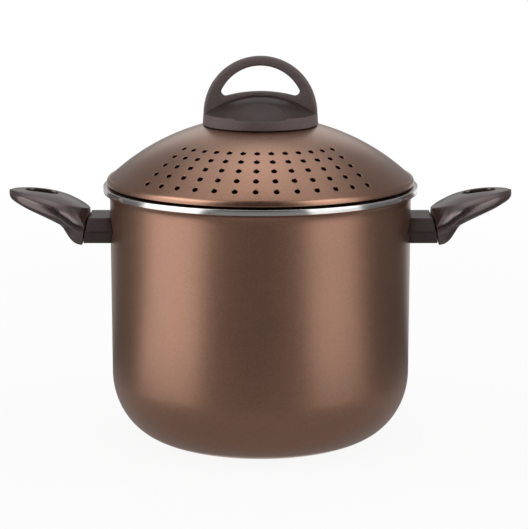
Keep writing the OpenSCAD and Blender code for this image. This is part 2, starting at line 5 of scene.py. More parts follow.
import bpy
import numpy as np
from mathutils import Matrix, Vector


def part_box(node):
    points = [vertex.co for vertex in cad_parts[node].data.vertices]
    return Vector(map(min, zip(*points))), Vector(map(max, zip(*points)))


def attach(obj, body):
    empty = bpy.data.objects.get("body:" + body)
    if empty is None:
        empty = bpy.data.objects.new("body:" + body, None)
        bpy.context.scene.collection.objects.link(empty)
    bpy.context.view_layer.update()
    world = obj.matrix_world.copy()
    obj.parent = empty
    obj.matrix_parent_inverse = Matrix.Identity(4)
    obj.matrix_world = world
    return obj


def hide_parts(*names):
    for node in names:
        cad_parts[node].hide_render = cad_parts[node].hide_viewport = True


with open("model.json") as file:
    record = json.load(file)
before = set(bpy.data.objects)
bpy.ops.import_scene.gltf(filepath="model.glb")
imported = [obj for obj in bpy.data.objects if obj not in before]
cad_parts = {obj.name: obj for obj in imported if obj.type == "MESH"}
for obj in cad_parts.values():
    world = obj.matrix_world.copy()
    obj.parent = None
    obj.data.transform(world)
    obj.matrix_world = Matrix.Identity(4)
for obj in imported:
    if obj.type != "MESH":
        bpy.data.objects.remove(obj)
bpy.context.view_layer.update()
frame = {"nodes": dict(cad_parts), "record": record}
mm = 0.001  # metres
join = np.concatenate  # one array from several


def boxInMm(node):
    # lowest and highest corner of a CAD node, in millimetres
    low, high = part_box(node)
    return np.array(low) / mm, np.array(high) / mm


potHigh = boxInMm("pot_body")[1]
lidLow, lidHigh = boxInMm("lid_dome")
knobHigh = boxInMm("knob_grip")[1]
springLow, springHigh = boxInMm("wave_spring")

# where the photograph was taken from
cameraSetup = {
    "distance": 1400.0,  # from the pot's axis, mm
    "height": 415.5,  # mm
    "pitch": 11.56,  # degrees below the horizon
    "lens": 128.8,  # mm on a 36 mm sensor
    "shift": 0.0067,  # share of the frame, sets the pot a little left of the middle
    "farthest": 50.0,  # metres, the end of what the camera sees
}


def addObject(name, data):
    # an object of that data, in the scene
    piece = bpy.data.objects.new(name, data)
    bpy.context.scene.collection.objects.link(piece)
    return piece


def makeCamera():
    data = bpy.data.cameras.new("camera")
    data.lens = cameraSetup["lens"]
    data.shift_x = cameraSetup["shift"]
    data.clip_end = cameraSetup["farthest"]
    camera = addObject("camera", data)
    camera.location = (0, -cameraSetup["distance"] * mm, cameraSetup["height"] * mm)
    camera.rotation_euler = (math.pi / 2 - math.radians(cameraSetup["pitch"]), 0, 0)
    bpy.context.scene.camera = camera


makeCamera()
print("camera placed")


# shapes as arrays

def arc(centre, radius, start, end, steps):
    # points centre + radius * (cos a, sin a), a from start to end in degrees; two radii give an ellipse
    a = np.radians(np.linspace(start, end, steps + 1))
    rx, ry = np.broadcast_to(radius, 2)
    return np.stack([centre[0] + rx * np.cos(a), centre[1] + ry * np.sin(a)], 1)


def fillet(points, radii, steps):
    # each corner with a radius becomes an arc that leaves both of its sides at radius / tan(half its angle)
    points = np.asarray(points, float)
    found = []
    for i, radius in enumerate(radii):
        corner = points[i]
        if radius <= 0:
            found.append(corner[None])
            continue
        before = points[i - 1] - corner
        after = points[(i + 1) % len(points)] - corner
        before, after = before / np.hypot(*before), after / np.hypot(*after)
        half = math.acos(np.clip(before @ after, -1, 1)) / 2
        middle = (before + after) / np.hypot(*(before + after))
        centre = corner + middle * radius / math.sin(half)
        first = corner + before * radius / math.tan(half) - centre
        last = corner + after * radius / math.tan(half) - centre
        turn = math.atan2(first[0] * last[1] - first[1] * last[0], first @ last)
        a = math.atan2(first[1], first[0]) + np.linspace(0, turn, steps + 1)
        found.append(centre + radius * np.stack([np.cos(a), np.sin(a)], 1))
    return join(found)


def onBall(r, centreZ, radius):
    # the point or points (r, centreZ + sqrt(radius^2 - r^2))
    return np.stack([r, centreZ + np.sqrt(radius ** 2 - r ** 2)], -1)


def spread(points, step):
    # the same line with more points, so that no stretch is longer than step
    points = np.asarray(points, float)
    found = [points[:1]]
    for a, b in zip(points[:-1], points[1:]):
        count = max(1, math.ceil(np.hypot(*(b - a)) / step))
        found.append(a + (b - a) * (np.arange(1, count + 1) / count)[:, None])
    return join(found)


def closedSpread(points, step):
    # the same for an outline that runs back to its start
    return spread(join([points, points[:1]]), step)[:-1]


def turned(profile, a):
    # a grid of points, profile (r, z) by angle a: (r cos a, r sin a, z)
    r, z = profile[:, :1], profile[:, 1:]
    return np.stack([r * np.cos(a), r * np.sin(a), z + 0 * a], 2)


def gridFaces(rows, columns, closeRows=False, closeColumns=False):
    # quads between neighbours of a grid of points numbered row by row
    i, j = np.meshgrid(np.arange(rows - (not closeRows)), np.arange(columns - (not closeColumns)),
                       indexing="ij")
    i2, j2 = (i + 1) % rows, (j + 1) % columns
    corners = [i * columns + j, i * columns + j2, i2 * columns + j2, i2 * columns + j]
    return np.stack([c.ravel() for c in corners], 1)


def revolve(profile, columns):
    # a profile (r, z) turned round the z axis, where both of its ends lie; each face comes with the number of
    # its stretch of the profile, counted from the first point
    profile = np.asarray(profile, float)
    rings = len(profile) - 2
    points = turned(profile[1:-1], 2 * np.pi * np.arange(columns) / columns).reshape(-1, 3)
    poles = np.array([[0, 0, profile[0, 1]], [0, 0, profile[-1, 1]]])
    quads = gridFaces(rings, columns, closeColumns=True)
    around, after = np.arange(columns), (np.arange(columns) + 1) % columns
    last = (rings - 1) * columns
    firstFan = np.stack([np.full(columns, len(points)), after, around], 1)
    lastFan = np.stack([np.full(columns, len(points) + 1), last + around, last + after], 1)
    return join([points, poles]), [
        (quads, np.repeat(np.arange(rings - 1) + 1, columns)),
        (firstFan, np.zeros(columns, int)), (lastFan, np.full(columns, rings))]


def outward(points, faceSets):
    # turns every face round where the shell is inside out, so that its volume, the sum over triangles of
    # a . (b x c) / 6, is negative
    volume = 0.0
    for faces, _ in faceSets:
        for k in range(1, faces.shape[1] - 1):
            a, b, c = points[faces[:, 0]], points[faces[:, k]], points[faces[:, k + 1]]
            volume += np.einsum("ij,ij->", a, np.cross(b, c)) / 6
    way = 1 if volume >= 0 else -1
    return points, [(faces[:, ::way], kind) for faces, kind in faceSets]


def closedTube(grid, kind=0):
    # a shell from a grid of points that closes on itself both ways, with the number of its material
    faces = gridFaces(*grid.shape[:2], closeRows=True, closeColumns=True)
    return outward(grid.reshape(-1, 3), [(faces, kind)])


def makePiece(name, body, nodes, shells, materials, sharp=35):
    # one object from closed shells in millimetres; each face set carries a material number per face, and
    # edges that turn by more than sharp degrees stay sharp
    counts = np.cumsum([0] + [len(points) for points, _ in shells])
    points = join([points for points, _ in shells]) * mm
    loops, sizes, kinds = [], [], []
    for (_, faceSets), start in zip(shells, counts):
        for faces, kind in faceSets:
            loops.append((faces + start).ravel())
            sizes.append(np.full(len(faces), faces.shape[1]))
            kinds.append(np.broadcast_to(kind, len(faces)))
    sizes = join(sizes)
    starts = join([[0], np.cumsum(sizes)[:-1]])
    mesh = bpy.data.meshes.new(name)
    mesh.vertices.add(len(points))
    mesh.vertices.foreach_set("co", points.astype(np.float32).ravel())
    mesh.loops.add(int(sizes.sum()))
    mesh.loops.foreach_set("vertex_index", join(loops).astype(np.int32))
    mesh.polygons.add(len(sizes))
    mesh.polygons.foreach_set("loop_start", starts.astype(np.int32))
    mesh.polygons.foreach_set("material_index", join(kinds).astype(np.int32))
    mesh.polygons.foreach_set("use_smooth", np.ones(len(sizes), bool))
    mesh.update(calc_edges=True)
    mesh.validate()
    mesh.set_sharp_from_angle(angle=math.radians(sharp))
    for material in materials:
        mesh.materials.append(material)
    piece = addObject(name, mesh)
    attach(piece, body)
    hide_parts(*nodes)
    print("made", name, "with", len(sizes), "faces")


# materials

def linear(colour):
    # sRGB hex to linear: c / 12.92 below 0.04045, else ((c + 0.055) / 1.055) ^ 2.4
    c = np.array([int(colour[k:k + 2], 16) / 255 for k in (1, 3, 5)])
    c = np.where(c <= 0.04045, c / 12.92, ((c + 0.055) / 1.055) ** 2.4)
    return (*c.tolist(), 1.0)


def feed(tree, node, inputs):
    # fills a node's sockets, each with a value, another socket or another node, whose first output in use is
    # taken
    for name, value in inputs.items():
        if isinstance(value, bpy.types.Node):
            value = next(output for output in value.outputs if output.enabled)
        if isinstance(value, bpy.types.NodeSocket):
            tree.links.new(value, node.inputs[name])
        else:
            node.inputs[name].default_value = value


def addNode(tree, kind, inputs=None, **settings):
    # adds a node with its settings and links
    node = tree.nodes.new("ShaderNode" + kind)
    for name, value in settings.items():
        setattr(node, name, value)
    feed(tree, node, inputs or {})
    return node


def emptyMaterial(name):
    # a material without nodes, and its tree
    material = bpy.data.materials.new(name)
    material.use_nodes = True
    material.node_tree.nodes.clear()
    return material, material.node_tree


def newMaterial(name):
    # a material with its shader and output, and the place of each point in metres
    material, tree = emptyMaterial(name)
    shader = addNode(tree, "BsdfPrincipled")
    addNode(tree, "OutputMaterial", {"Surface": shader})
    return material, tree, shader, addNode(tree, "TexCoord").outputs["Object"]


noiseRange = {"From Min": 0.3, "From Max": 0.7}  # where most of a noise's values lie

bronze = {
    "colour": "#AA806A",
    "flake": 0.9,  # mm, a mica flake is about 0.05 mm; drawn coarse, so that the grain shows
    "grain": 0.1,  # how much lighter or darker a flake is
    "flakeRelief": {"Strength": 0.08, "Distance": 0.02 * mm},
    "cloud": 45.0,  # mm, places where the coat is a little thicker
    "drift": 0.03,  # how much lighter or darker they are
    "orangePeel": 2.2,  # mm, the waves that a sprayed coat levels to
    "peelRelief": {"Strength": 0.12, "Distance": 0.05 * mm},
    "bodyRoughness": 0.38,
    "lidRoughness": 0.31,
    "uneven": 0.04,  # difference of roughness from flake to flake
    "bodyClear": 0.5,  # share of the clear top layer, which turns mauve-grey at a low angle
    "lidClear": 0.62,
    "clearRoughness": 0.3,
}


def bronzeCoating(name, clear, roughness):
    # sprayed metallic non-stick coating on pressed aluminium: a satin bronze that takes lamps as wide soft
    # bands, with a fine grain from the flakes
    p = SimpleNamespace(**bronze)
    material, tree, shader, place = newMaterial(name)
    cells = addNode(tree, "TexVoronoi", {"Vector": place, "Scale": 1 / (p.flake * mm)})
    flake = addNode(tree, "RGBToBW", {"Color": cells.outputs["Color"]})
    cloud = addNode(tree, "TexNoise", {"Vector": place, "Scale": 1 / (p.cloud * mm), "Detail": 3})
    grain = addNode(tree, "MapRange", {"Value": flake, "To Min": 1 - p.grain, "To Max": 1 + p.grain})
    drift = addNode(tree, "MapRange", {"Value": cloud, **noiseRange, "To Min": 1 - p.drift,
                                       "To Max": 1 + p.drift})
    level = addNode(tree, "Math", {0: grain, 1: drift}, operation="MULTIPLY")
    peel = addNode(tree, "TexNoise", {"Vector": place, "Scale": 1 / (p.orangePeel * mm), "Detail": 1})
    waves = addNode(tree, "Bump", {"Height": peel, **p.peelRelief})
    feed(tree, shader, {
        "Base Color": addNode(tree, "VectorMath", {0: linear(p.colour)[:3], "Scale": level},
                              operation="SCALE"),
        "Roughness": addNode(tree, "MapRange", {"Value": flake, "To Min": roughness - p.uneven,
                                                "To Max": roughness + p.uneven}),
        "Normal": addNode(tree, "Bump", {"Height": flake, "Normal": waves, **p.flakeRelief}),
        "Metallic": 1.0, "Coat Weight": clear, "Coat Roughness": p.clearRoughness})
    return material


bareMetal = {
    "dullness": (0.85, 1.2),  # range of the roughness, as a share of it
    "smudge": 12.0,  # mm, dull and bright places on turned metal
    "ringTone": {"To Min": 0.92, "To Max": 1.04},  # darkest and lightest of the tool's rings
    "ringRelief": 0.3,
    "grain": 0.35,  # mm, across the brushing of sheet
    "grainStretch": 0.04,  # its width as a share of its length, which lies along x
    "grainRelief": {"Strength": 0.2, "Distance": 0.02 * mm},
    "mottle": 7.0,  # mm, lighter and darker places on sheet
    "mottleTone": {"To Min": 0.93, "To Max": 1.03},
}


def finishMetal(tree, shader, colour, tone, roughness, patches, bump):
    # bare metal with its colour scaled by tone, and duller or brighter with the patches
    low, high = bareMetal["dullness"]
    feed(tree, shader, {
        "Base Color": addNode(tree, "VectorMath", {0: linear(colour)[:3], "Scale": tone}, operation="SCALE"),
        "Roughness": addNode(tree, "MapRange", {"Value": patches, **noiseRange, "To Min": roughness * low,
                                                "To Max": roughness * high}),
        "Normal": bump, "Metallic": 1.0})


def turnedMetal(name, colour, roughness, pitch, depth=0.02):
    # metal cut on a lathe: rings round the z axis at the pitch of the tool, with a little unevenness
    p = SimpleNamespace(**bareMetal)
    material, tree, shader, place = newMaterial(name)
    flat = addNode(tree, "VectorMath", {0: place, 1: (1, 1, 0)}, operation="MULTIPLY")
    radius = addNode(tree, "VectorMath", {0: flat}, operation="LENGTH")
    height = addNode(tree, "SeparateXYZ", {0: place}).outputs["Z"]
    across = addNode(tree, "CombineXYZ", {"X": radius, "Y": height})
    rings = addNode(tree, "TexNoise", {"Vector": across, "Scale": 1 / (pitch * mm), "Detail": 2})
    tone = addNode(tree, "MapRange", {"Value": rings, **noiseRange, **p.ringTone})
    smudge = addNode(tree, "TexNoise", {"Vector": place, "Scale": 1 / (p.smudge * mm), "Detail": 2})
    bump = addNode(tree, "Bump", {"Height": rings, "Strength": p.ringRelief, "Distance": depth * mm})
    finishMetal(tree, shader, colour, tone, roughness, smudge, bump)
    return material


def stampedSteel(name, colour, roughness):
    # cold-rolled stainless sheet, stamped: a fine brushed grain along x and a soft mottle
    p = SimpleNamespace(**bareMetal)
    material, tree, shader, place = newMaterial(name)
    along = addNode(tree, "Mapping", {"Vector": place, "Scale": (p.grainStretch, 1, 1)})
    grain = addNode(tree, "TexNoise", {"Vector": along, "Scale": 1 / (p.grain * mm), "Detail": 2})
    mottle = addNode(tree, "TexNoise", {"Vector": place, "Scale": 1 / (p.mottle * mm), "Detail": 2})
    tone = addNode(tree, "MapRange", {"Value": mottle, **noiseRange, **p.mottleTone})
    bump = addNode(tree, "Bump", {"Height": grain, **p.grainRelief})
    finishMetal(tree, shader, colour, tone, roughness, grain, bump)
    return material


moulding = {
    "flow": 14.0,  # mm, clouds where the melt flowed
    "uneven": 0.03,  # difference of roughness from cloud to cloud
    "relief": 0.35,
    "shine": "#FFE9EA",  # tint of the highlights
}


def mouldedPlastic(name, colour, light, roughness, grainSize, depth, gloss=0.5, ior=1.5, contrast=0.07):
    # plastic moulded in a spark-eroded tool: an even fine grain that spreads every highlight, and faint
    # cloudiness where the melt flowed
    p = SimpleNamespace(**moulding)
    material, tree, shader, place = newMaterial(name)
    grain = addNode(tree, "TexNoise", {"Vector": place, "Scale": 1 / (grainSize * mm), "Detail": 2})
    flow = addNode(tree, "TexNoise", {"Vector": place, "Scale": 1 / (p.flow * mm), "Detail": 3})
    share = addNode(tree, "MapRange", {"Value": flow, **noiseRange})
    shade = addNode(tree, "Mix", {0: share, 6: linear(colour), 7: linear(light)}, data_type="RGBA")
    speck = addNode(tree, "MapRange", {"Value": grain, **noiseRange, "To Min": 1 - contrast,
                                       "To Max": 1 + contrast})
    feed(tree, shader, {
        "Base Color": addNode(tree, "VectorMath", {0: shade, "Scale": speck}, operation="SCALE"),
        "Roughness": addNode(tree, "MapRange", {"Value": flow, **noiseRange, "To Min": roughness - p.uneven,
                                                "To Max": roughness + p.uneven}),
        "Normal": addNode(tree, "Bump", {"Height": grain, "Strength": p.relief, "Distance": depth * mm}),
        "IOR": ior, "Specular IOR Level": gloss, "Specular Tint": linear(p.shine)})
    return material


liningCoat = {
    "dark": "#262424",
    "light": "#302D2C",
    "cloud": 20.0,  # mm
    "speck": "#6F6A66",
    "speckPitch": 1.6,  # mm
    "speckEdge": {"From Min": 0.16, "From Max": 0.10},  # where it starts and is full, as a share of the pitch
    "speckRare": {"From Min": 0.66, "From Max": 0.74},  # only cells with a shade above this hold one
    "peel": 1.2,  # mm
    "peelRelief": {"Strength": 0.2, "Distance": 0.04 * mm},
    "roughness": 0.42,
}


def nonStickLining(name):
    # dark fluoropolymer coating, sprayed and baked: nearly black, satin, with sparse mica specks
    p = SimpleNamespace(**liningCoat)
    material, tree, shader, place = newMaterial(name)
    cells = addNode(tree, "TexVoronoi", {"Vector": place, "Scale": 1 / (p.speckPitch * mm)})
    pick = addNode(tree, "RGBToBW", {"Color": cells.outputs["Color"]})
    near = addNode(tree, "MapRange", {"Value": cells.outputs["Distance"], **p.speckEdge})
    rare = addNode(tree, "MapRange", {"Value": pick, **p.speckRare})
    speck = addNode(tree, "Math", {0: near, 1: rare}, operation="MULTIPLY")
    cloud = addNode(tree, "TexNoise", {"Vector": place, "Scale": 1 / (p.cloud * mm), "Detail": 3})
    ground = addNode(tree, "Mix", {0: cloud, 6: linear(p.dark), 7: linear(p.light)}, data_type="RGBA")
    peel = addNode(tree, "TexNoise", {"Vector": place, "Scale": 1 / (p.peel * mm), "Detail": 1})
    feed(tree, shader, {
        "Base Color": addNode(tree, "Mix", {0: speck, 6: ground, 7: linear(p.speck)}, data_type="RGBA"),
        "Normal": addNode(tree, "Bump", {"Height": peel, **p.peelRelief}), "Roughness": p.roughness})
    return material


# after the colours: roughness, size and depth in mm of the rings or the grain, gloss and index of refraction
bodyBronze = bronzeCoating("bronzeBodyCoating", bronze["bodyClear"], bronze["bodyRoughness"])
lidBronze = bronzeCoating("bronzeLidCoating", bronze["lidClear"], bronze["lidRoughness"])
lining = nonStickLining("darkNonStickLining")
rimMetal = turnedMetal("turnedAluminiumRim", "#F4F2F0", 0.16, 0.5)
baseMetal = turnedMetal("machinedAluminiumBase", "#C3C2C0", 0.3, 0.8, 0.05)
softTouch = mouldedPlastic("softTouchMouldedPlastic", "#2F2422", "#332825", 0.38, 0.45, 0.03)
handlePlastic = mouldedPlastic("softTouchHandlePlastic", "#2B201E", "#2F2422", 0.27, 0.45, 0.02, 1.0, 1.7)
neckPlastic = mouldedPlastic("mattMouldedNeckPlastic", "#302624", "#352A28", 0.4, 0.45, 0.03, 0.4)
# the knob's band and arch take a lighter copy of the knob's plastic: its coarser grain and roughness are real,
# its lighter colour is painted light, standing for the light that their front-facing faces catch
grainedPaintedLightPlastic = mouldedPlastic("grainedPlasticPaintedLighter", "#594E4D", "#625654", 0.6, 0.9, 0.15, contrast=0.2)
steelSheet = stampedSteel("stampedStainlessSteel", "#B5B4B1", 0.3)
turnedSteel = turnedMetal("turnedStainlessSteel", "#AEADAB", 0.24, 0.4)
rivetMetal = turnedMetal("headedAluminiumRivet", "#D3D2D0", 0.28, 0.5)
brass = turnedMetal("turnedBrass", "#C9A65A", 0.25, 0.4)
acetal = mouldedPlastic("mouldedWhiteAcetal", "#DAD8D0", "#E2E0D9", 0.35, 0.4, 0.02)
print("materials ready")

# the pot
pot = {
    "lipRadius": potHigh[0],
    "height": potHigh[2],
    "wall": 2.8,
    "lipOut": 4.8,  # from the wall to the rim's edge
    "lipHeight": 3.9,
    "lipRounds": (0.3, 0.4),  # below and above
    "flare": 8.0,  # height of the curve under the rim
    "flareIn": 0.2,  # from the rim's edge in to the curve's end
    "mouthRound": 3.0,
    "seam": 0.7,  # height and depth of the groove where the coating ends under the rim
    "footReach": 41.0,  # sideways reach of the rounded foot
    "footHeight": 49.0,
    "floor": 4.5,
    "liningEdge": 1.3,  # width of the rim's top that the lining covers
    "rings": [14, 26, 38, 50, 62],  # radii of the grooves turned into the base
    "groove": [[-1.0, 0], [-0.6, 0.25], [0.6, 0.25], [1.0, 0]],  # outline of one of them
    "columns": 288,
    "footStep": 3.0,  # longest stretch of the outline round the foot, up the wall and inside
    "wallStep": 6.0,
    "insideStep": 8.0,
}


def makePot():
    # outline (r, z) from the base's middle, round the foot, up the wall, over the rim and down inside
    p = SimpleNamespace(**pot)
    wallR = p.lipRadius - p.lipOut
    mouthR, topZ = wallR - p.wall + p.mouthRound, p.height
    lipZ = topZ - p.lipHeight
    flareR, flareZ = p.lipRadius - p.flareIn, lipZ - p.flare
    footCentre = (wallR - p.footReach, p.footHeight)
    grooves = [np.array(p.groove) + [r, 0] for r in p.rings]
    base = join([[[0, 0]]] + grooves + [[[footCentre[0], 0]]])
    foot = arc(footCentre, (p.footReach, p.footHeight), -90, 0, steps=40)
    flare = arc((flareR, flareZ), (p.lipOut - p.flareIn, p.flare - p.seam), 180, 90, steps=14)
    wall = spread(join([foot[-1:], flare]), p.wallStep)[1:]
    seam = [[flareR - p.seam, lipZ - p.seam / 2]]
    edge = fillet([seam[0], [p.lipRadius, lipZ], [p.lipRadius, topZ], [mouthR, topZ]],
                  [0, *p.lipRounds, 0], 4)[1:-1]
    liningStart = [[mouthR + p.liningEdge, topZ]]
    mouth = arc((mouthR, topZ - p.mouthRound), p.mouthRound, 90, 180, steps=10)
    footIn = arc(footCentre, (p.footReach - p.wall, p.footHeight - p.floor), 0, -90, steps=32)
    inside = spread(join([mouth[-1:], footIn]), p.insideStep)[1:]
    sections = [(base, 3), (spread(foot, p.footStep), 0), (wall, 0), (seam, 0), (edge, 1),
                (liningStart, 1), (mouth, 2), (inside, 2), ([[0, p.floor]], 2)]  # with their materials
    profile = join([points for points, _ in sections])
    kinds = join([np.full(len(points), kind) for points, kind in sections])
    points, faceSets = revolve(profile, p.columns)
    shell = outward(points, [(faces, kinds[stretch + 1]) for faces, stretch in faceSets])
    makePiece("potShell", "pot", ["pot_body"], [shell],
              [bodyBronze, rimMetal, lining, baseMetal])


makePot()

# the lid
lid = {
    "edgeRadius": lidHigh[0],
    "flatTop": lidHigh[2],
    "domeRadius": 165.0,
    "flatRadius": 14.0,
    "sheet": 1.2,
    "shoulder": 5.6,  # radius of the rolled edge
    "shoulderUp": 2.2,  # its centre above the rim
    "bead": 0.5,  # radius at which the edge turns under
    "seatIn": 3.4,  # from the edge to where the lid sits on the rim; a gap opens outside of it
    "seatGap": 0.08,
    "seatRounds": (0.6, 0.8),  # where the seat starts, and where it turns down into the skirt
    "skirtRadius": 109.0,
    "skirtLow": lidLow[2],
    "skirtRound": 0.55,
    "skirtStop": 4.0,  # end of the skirt's straight inside, below the dome
    "cornerCut": 1.5,  # size of the bevel there
    "cornerOut": 0.05,
    "boreRadius": 7.5,
    "firstRow": 75.2,  # along the dome, from its middle
    "rowPitch": 10.1,
    "rows": 5,
    "columns": 13,
    "columnPitch": 7.9,  # degrees
    "middle": -91.8,  # bearing of the pattern's middle, degrees
    "holeRadius": 2.0,
    "holeEdge": 0.35,  # rounding of a hole's edge
    "holeSteps": 4,  # steps round that rounding
    "blend": (0.45, 0.75, 0.93),  # rings on the way from a cell's outline to its hole, as shares of it
    "cellSteps": 6,  # grid steps across one hole's cell
    "topSteps": 24,  # and from the flat top down to the pattern
    "lowSteps": 4,  # and from the pattern to the rolled edge
    "plainColumns": 168,  # grid columns round the rest of the lid
    "sectionStep": 3.0,  # longest stretch of the edge and the skirt
}


def onDome(distance, bearing, radius, centreZ):
    # (R sin(s / R0) cos a, R sin(s / R0) sin a, centre + R cos(s / R0)), with s measured along the outside,
    # whose radius is R0
    tilt = distance / lid["domeRadius"]
    flat = radius * np.sin(tilt)
    return np.stack([flat * np.cos(bearing), flat * np.sin(bearing),
                     centreZ + radius * np.cos(tilt) + 0 * bearing], -1)


def makeLid():
    # A grid of distance along the dome by bearing. The grid squares of each hole's cell are left out, and rings
    # that turn from the cell's outline into a circle lead round the hole's edge and through the sheet.
    p = SimpleNamespace(**lid)
    domeR, t, n = p.domeRadius, p.sheet, p.cellSteps
    centreZ = p.flatTop - math.sqrt(domeR * domeR - p.flatRadius ** 2)
    edgeX = p.edgeRadius - p.shoulder
    edgeZ = pot["height"] + p.shoulderUp
    tilt = math.atan2(edgeX, edgeZ - centreZ)

    patternStart = p.firstRow - p.rowPitch / 2
    patternEnd = patternStart + p.rows * p.rowPitch
    flatEnd = domeR * math.asin(p.flatRadius / domeR)
    distances = join([
        np.linspace(flatEnd, patternStart, p.topSteps + 1)[:-1],
        np.linspace(patternStart, patternEnd, p.rows * n + 1),
        np.linspace(patternEnd, domeR * tilt, p.lowSteps + 1)[1:]])

    pitch, middle = math.radians(p.columnPitch), math.radians(p.middle)
    half = pitch * p.columns / 2
    count = p.columns * n
    bearings = join([
        middle + np.linspace(-half, half, count + 1),
        middle + np.linspace(half, 2 * np.pi - half, p.plainColumns + 1)[1:-1]])
    columns = len(bearings)

    # the section in full: bore, dome, rolled edge, bead, skirt, a bevel and the dome's inside
    innerR, beadR = p.skirtRadius - t, p.edgeRadius - p.bead
    seatZ = pot["height"] + p.seatGap
    meet = domeR * math.asin(innerR / (domeR - t))  # where the skirt meets the dome's inside
    meetZ = onBall(innerR, centreZ, domeR - t)[1]
    shoulder = arc((edgeX, edgeZ), p.shoulder, 90 - math.degrees(tilt), 0, steps=12)[1:]
    bead = arc((beadR, edgeZ), p.bead, 0, -90, steps=6)[1:]
    skirt = fillet([[beadR, edgeZ - p.bead], [p.edgeRadius - p.seatIn, seatZ],
                    [p.skirtRadius, seatZ], [p.skirtRadius, p.skirtLow], [innerR, p.skirtLow],
                    [innerR, meetZ - p.skirtStop]],
                   [0, *p.seatRounds, p.skirtRound, p.skirtRound, 0], 5)[1:]
    edge = spread(join([shoulder, bead, skirt]), p.sectionStep)
    bevel = [[innerR + p.cornerOut, meetZ - p.cornerCut]]
    within = np.append(distances[distances < meet - 2 * p.cornerCut], meet - p.cornerCut)
    outerDome = onDome(distances, 0 * distances, domeR, centreZ)[:, [0, 2]]
    innerDome = onDome(within, 0 * within, domeR - t, centreZ)[::-1, [0, 2]]
    bore = [[p.boreRadius, p.flatTop], [p.boreRadius, p.flatTop - t]]
    section = join([bore[:1], outerDome, edge, bevel, innerDome, bore[1:]])

    number = np.arange(len(section) * columns).reshape(len(section), columns)
    faces = gridFaces(len(section), columns, closeRows=True, closeColumns=True)
    row, column = np.divmod(np.arange(len(faces)), columns)
    outTop = 1 + p.topSteps  # the pattern's top row outside, and inside, where it runs upwards
    inTop = len(section) - 2 - p.topSteps
    depth = p.rows * n
    inRows = ((row >= outTop) & (row < outTop + depth)) | ((row >= inTop - depth) & (row < inTop))
    kept = ~(inRows & (column < count))
    kind = np.where(row >= len(section) - 2 - len(innerDome), 1, 0)  # 1 is the lining

    # the outlines of all cells, as vertex numbers, outside and inside
    i, j = np.meshgrid(np.arange(p.rows), np.arange(p.columns), indexing="ij")
    i, j = i.ravel()[:, None], j.ravel()[:, None]
    step = np.arange(n)
    aroundRow = join([0 * step, step, 0 * step + n, n - step])
    aroundColumn = join([step, 0 * step + n, n - step, 0 * step])
    outerLoop = number[outTop + i * n + aroundRow, j * n + aroundColumn]
    innerLoop = number[inTop - i * n - aroundRow, j * n + aroundColumn]

    # rings between them, in the plane of the dome: share 1 is the cell's outline, share 0 the circle
    centreS = p.firstRow + i * p.rowPitch
    centreA = middle - half + pitch * (j + 0.5)
    outlineS = (aroundRow / n - 0.5) * p.rowPitch
    outlineA = (aroundColumn / n - 0.5) * pitch
    angle = np.arctan2(outlineS / p.rowPitch, outlineA / pitch)
    e, wide = p.holeEdge, p.holeRadius + p.holeEdge
    turn = np.radians(np.linspace(0, 90, p.holeSteps + 1))
    layers = [(1.0 - k, wide, 0.0) for k in p.blend]
    layers += [(0.0, wide - e * math.sin(b), e - e * math.cos(b)) for b in turn]
    layers += [(0.0, wide - e * math.sin(b), t - e + e * math.cos(b)) for b in turn[::-1]]
    layers += [(1.0 - k, wide, t) for k in p.blend[::-1]]
    share, radius, deep = np.array(layers).T[:, None, :, None]
    ringS = centreS[:, None] + share * outlineS + (1 - share) * radius * np.sin(angle)
    ringA = centreA[:, None] + share * outlineA \
        + (1 - share) * radius * np.cos(angle) / (domeR * np.sin(centreS / domeR))[:, None]
    rings = onDome(ringS, ringA, domeR - deep, centreZ)  # cell, layer, point around, xyz
    ringNumber = number.size + np.arange(ringS.size).reshape(ringS.shape)
    loops = join([outerLoop[:, None], ringNumber, innerLoop[:, None]], 1)
    after = np.roll(loops, -1, 2)
    walls = np.stack([loops[:, :-1], loops[:, 1:], after[:, 1:], after[:, :-1]], -1)
    lined = np.arange(len(layers) + 1) >= len(layers) - len(p.blend)
    wallKind = np.broadcast_to(lined[:, None], walls.shape[:3]).astype(int).ravel()
    points = join([turned(section, bearings).reshape(-1, 3), rings.reshape(-1, 3)])
    shell = outward(points, [(faces[kept], kind[kept]), (walls.reshape(-1, 4), wallKind)])
    makePiece("lidShell", "lid", ["lid_dome"], [shell], [lidBronze, lining], sharp=50)


makeLid()

# the knob
knob = {
    "radius": knobHigh[0],
    "bandHeight": 8.2,
    "bandRounds": (0.5, 0.45),  # below and above
    "bandStep": 1.5,
    "draft": 0.6,
    "crown": 14.0,  # rise of the crown above the band
    "crownSteps": 59,
    "shell": 3.0,
    "domeGap": 0.5,
    "archInset": 0.2,
    "archWidth": 15.0,
    "archTop": 6.5,  # thickness at the top
    "archSide": 10.2,  # thickness at the feet
    "archRoot": 1.0,  # how far inside the crown's edge its outer line turns in
    "outerRound": 3.2,
    "innerRound": 2.2,
    "floorUp": 2.0,  # the finger opening's floor above the crown
    "floorRadius": 96.0,
    "cornerRound": 3.5,
    "scoopStart": 23.0,  # distance of the thumb scoop's top from the axis
    "scoopWidth": 27.7,  # its outline is y = start + x^2 / width
    "scoopDepth": 1.5,
    "scoopLead": 3.5,  # distance over which it reaches its depth
    "scoopBelow": 4.0,  # it ends this far below the band's top
    "scoopFade": 3.5,  # and is full this far above its end
    "hubRadius": 11.0,
    "boreGap": 0.05,  # round the insert, the spindle and the bush
    "roofGap": 0.1,  # above the insert
    "columns": 288,
}


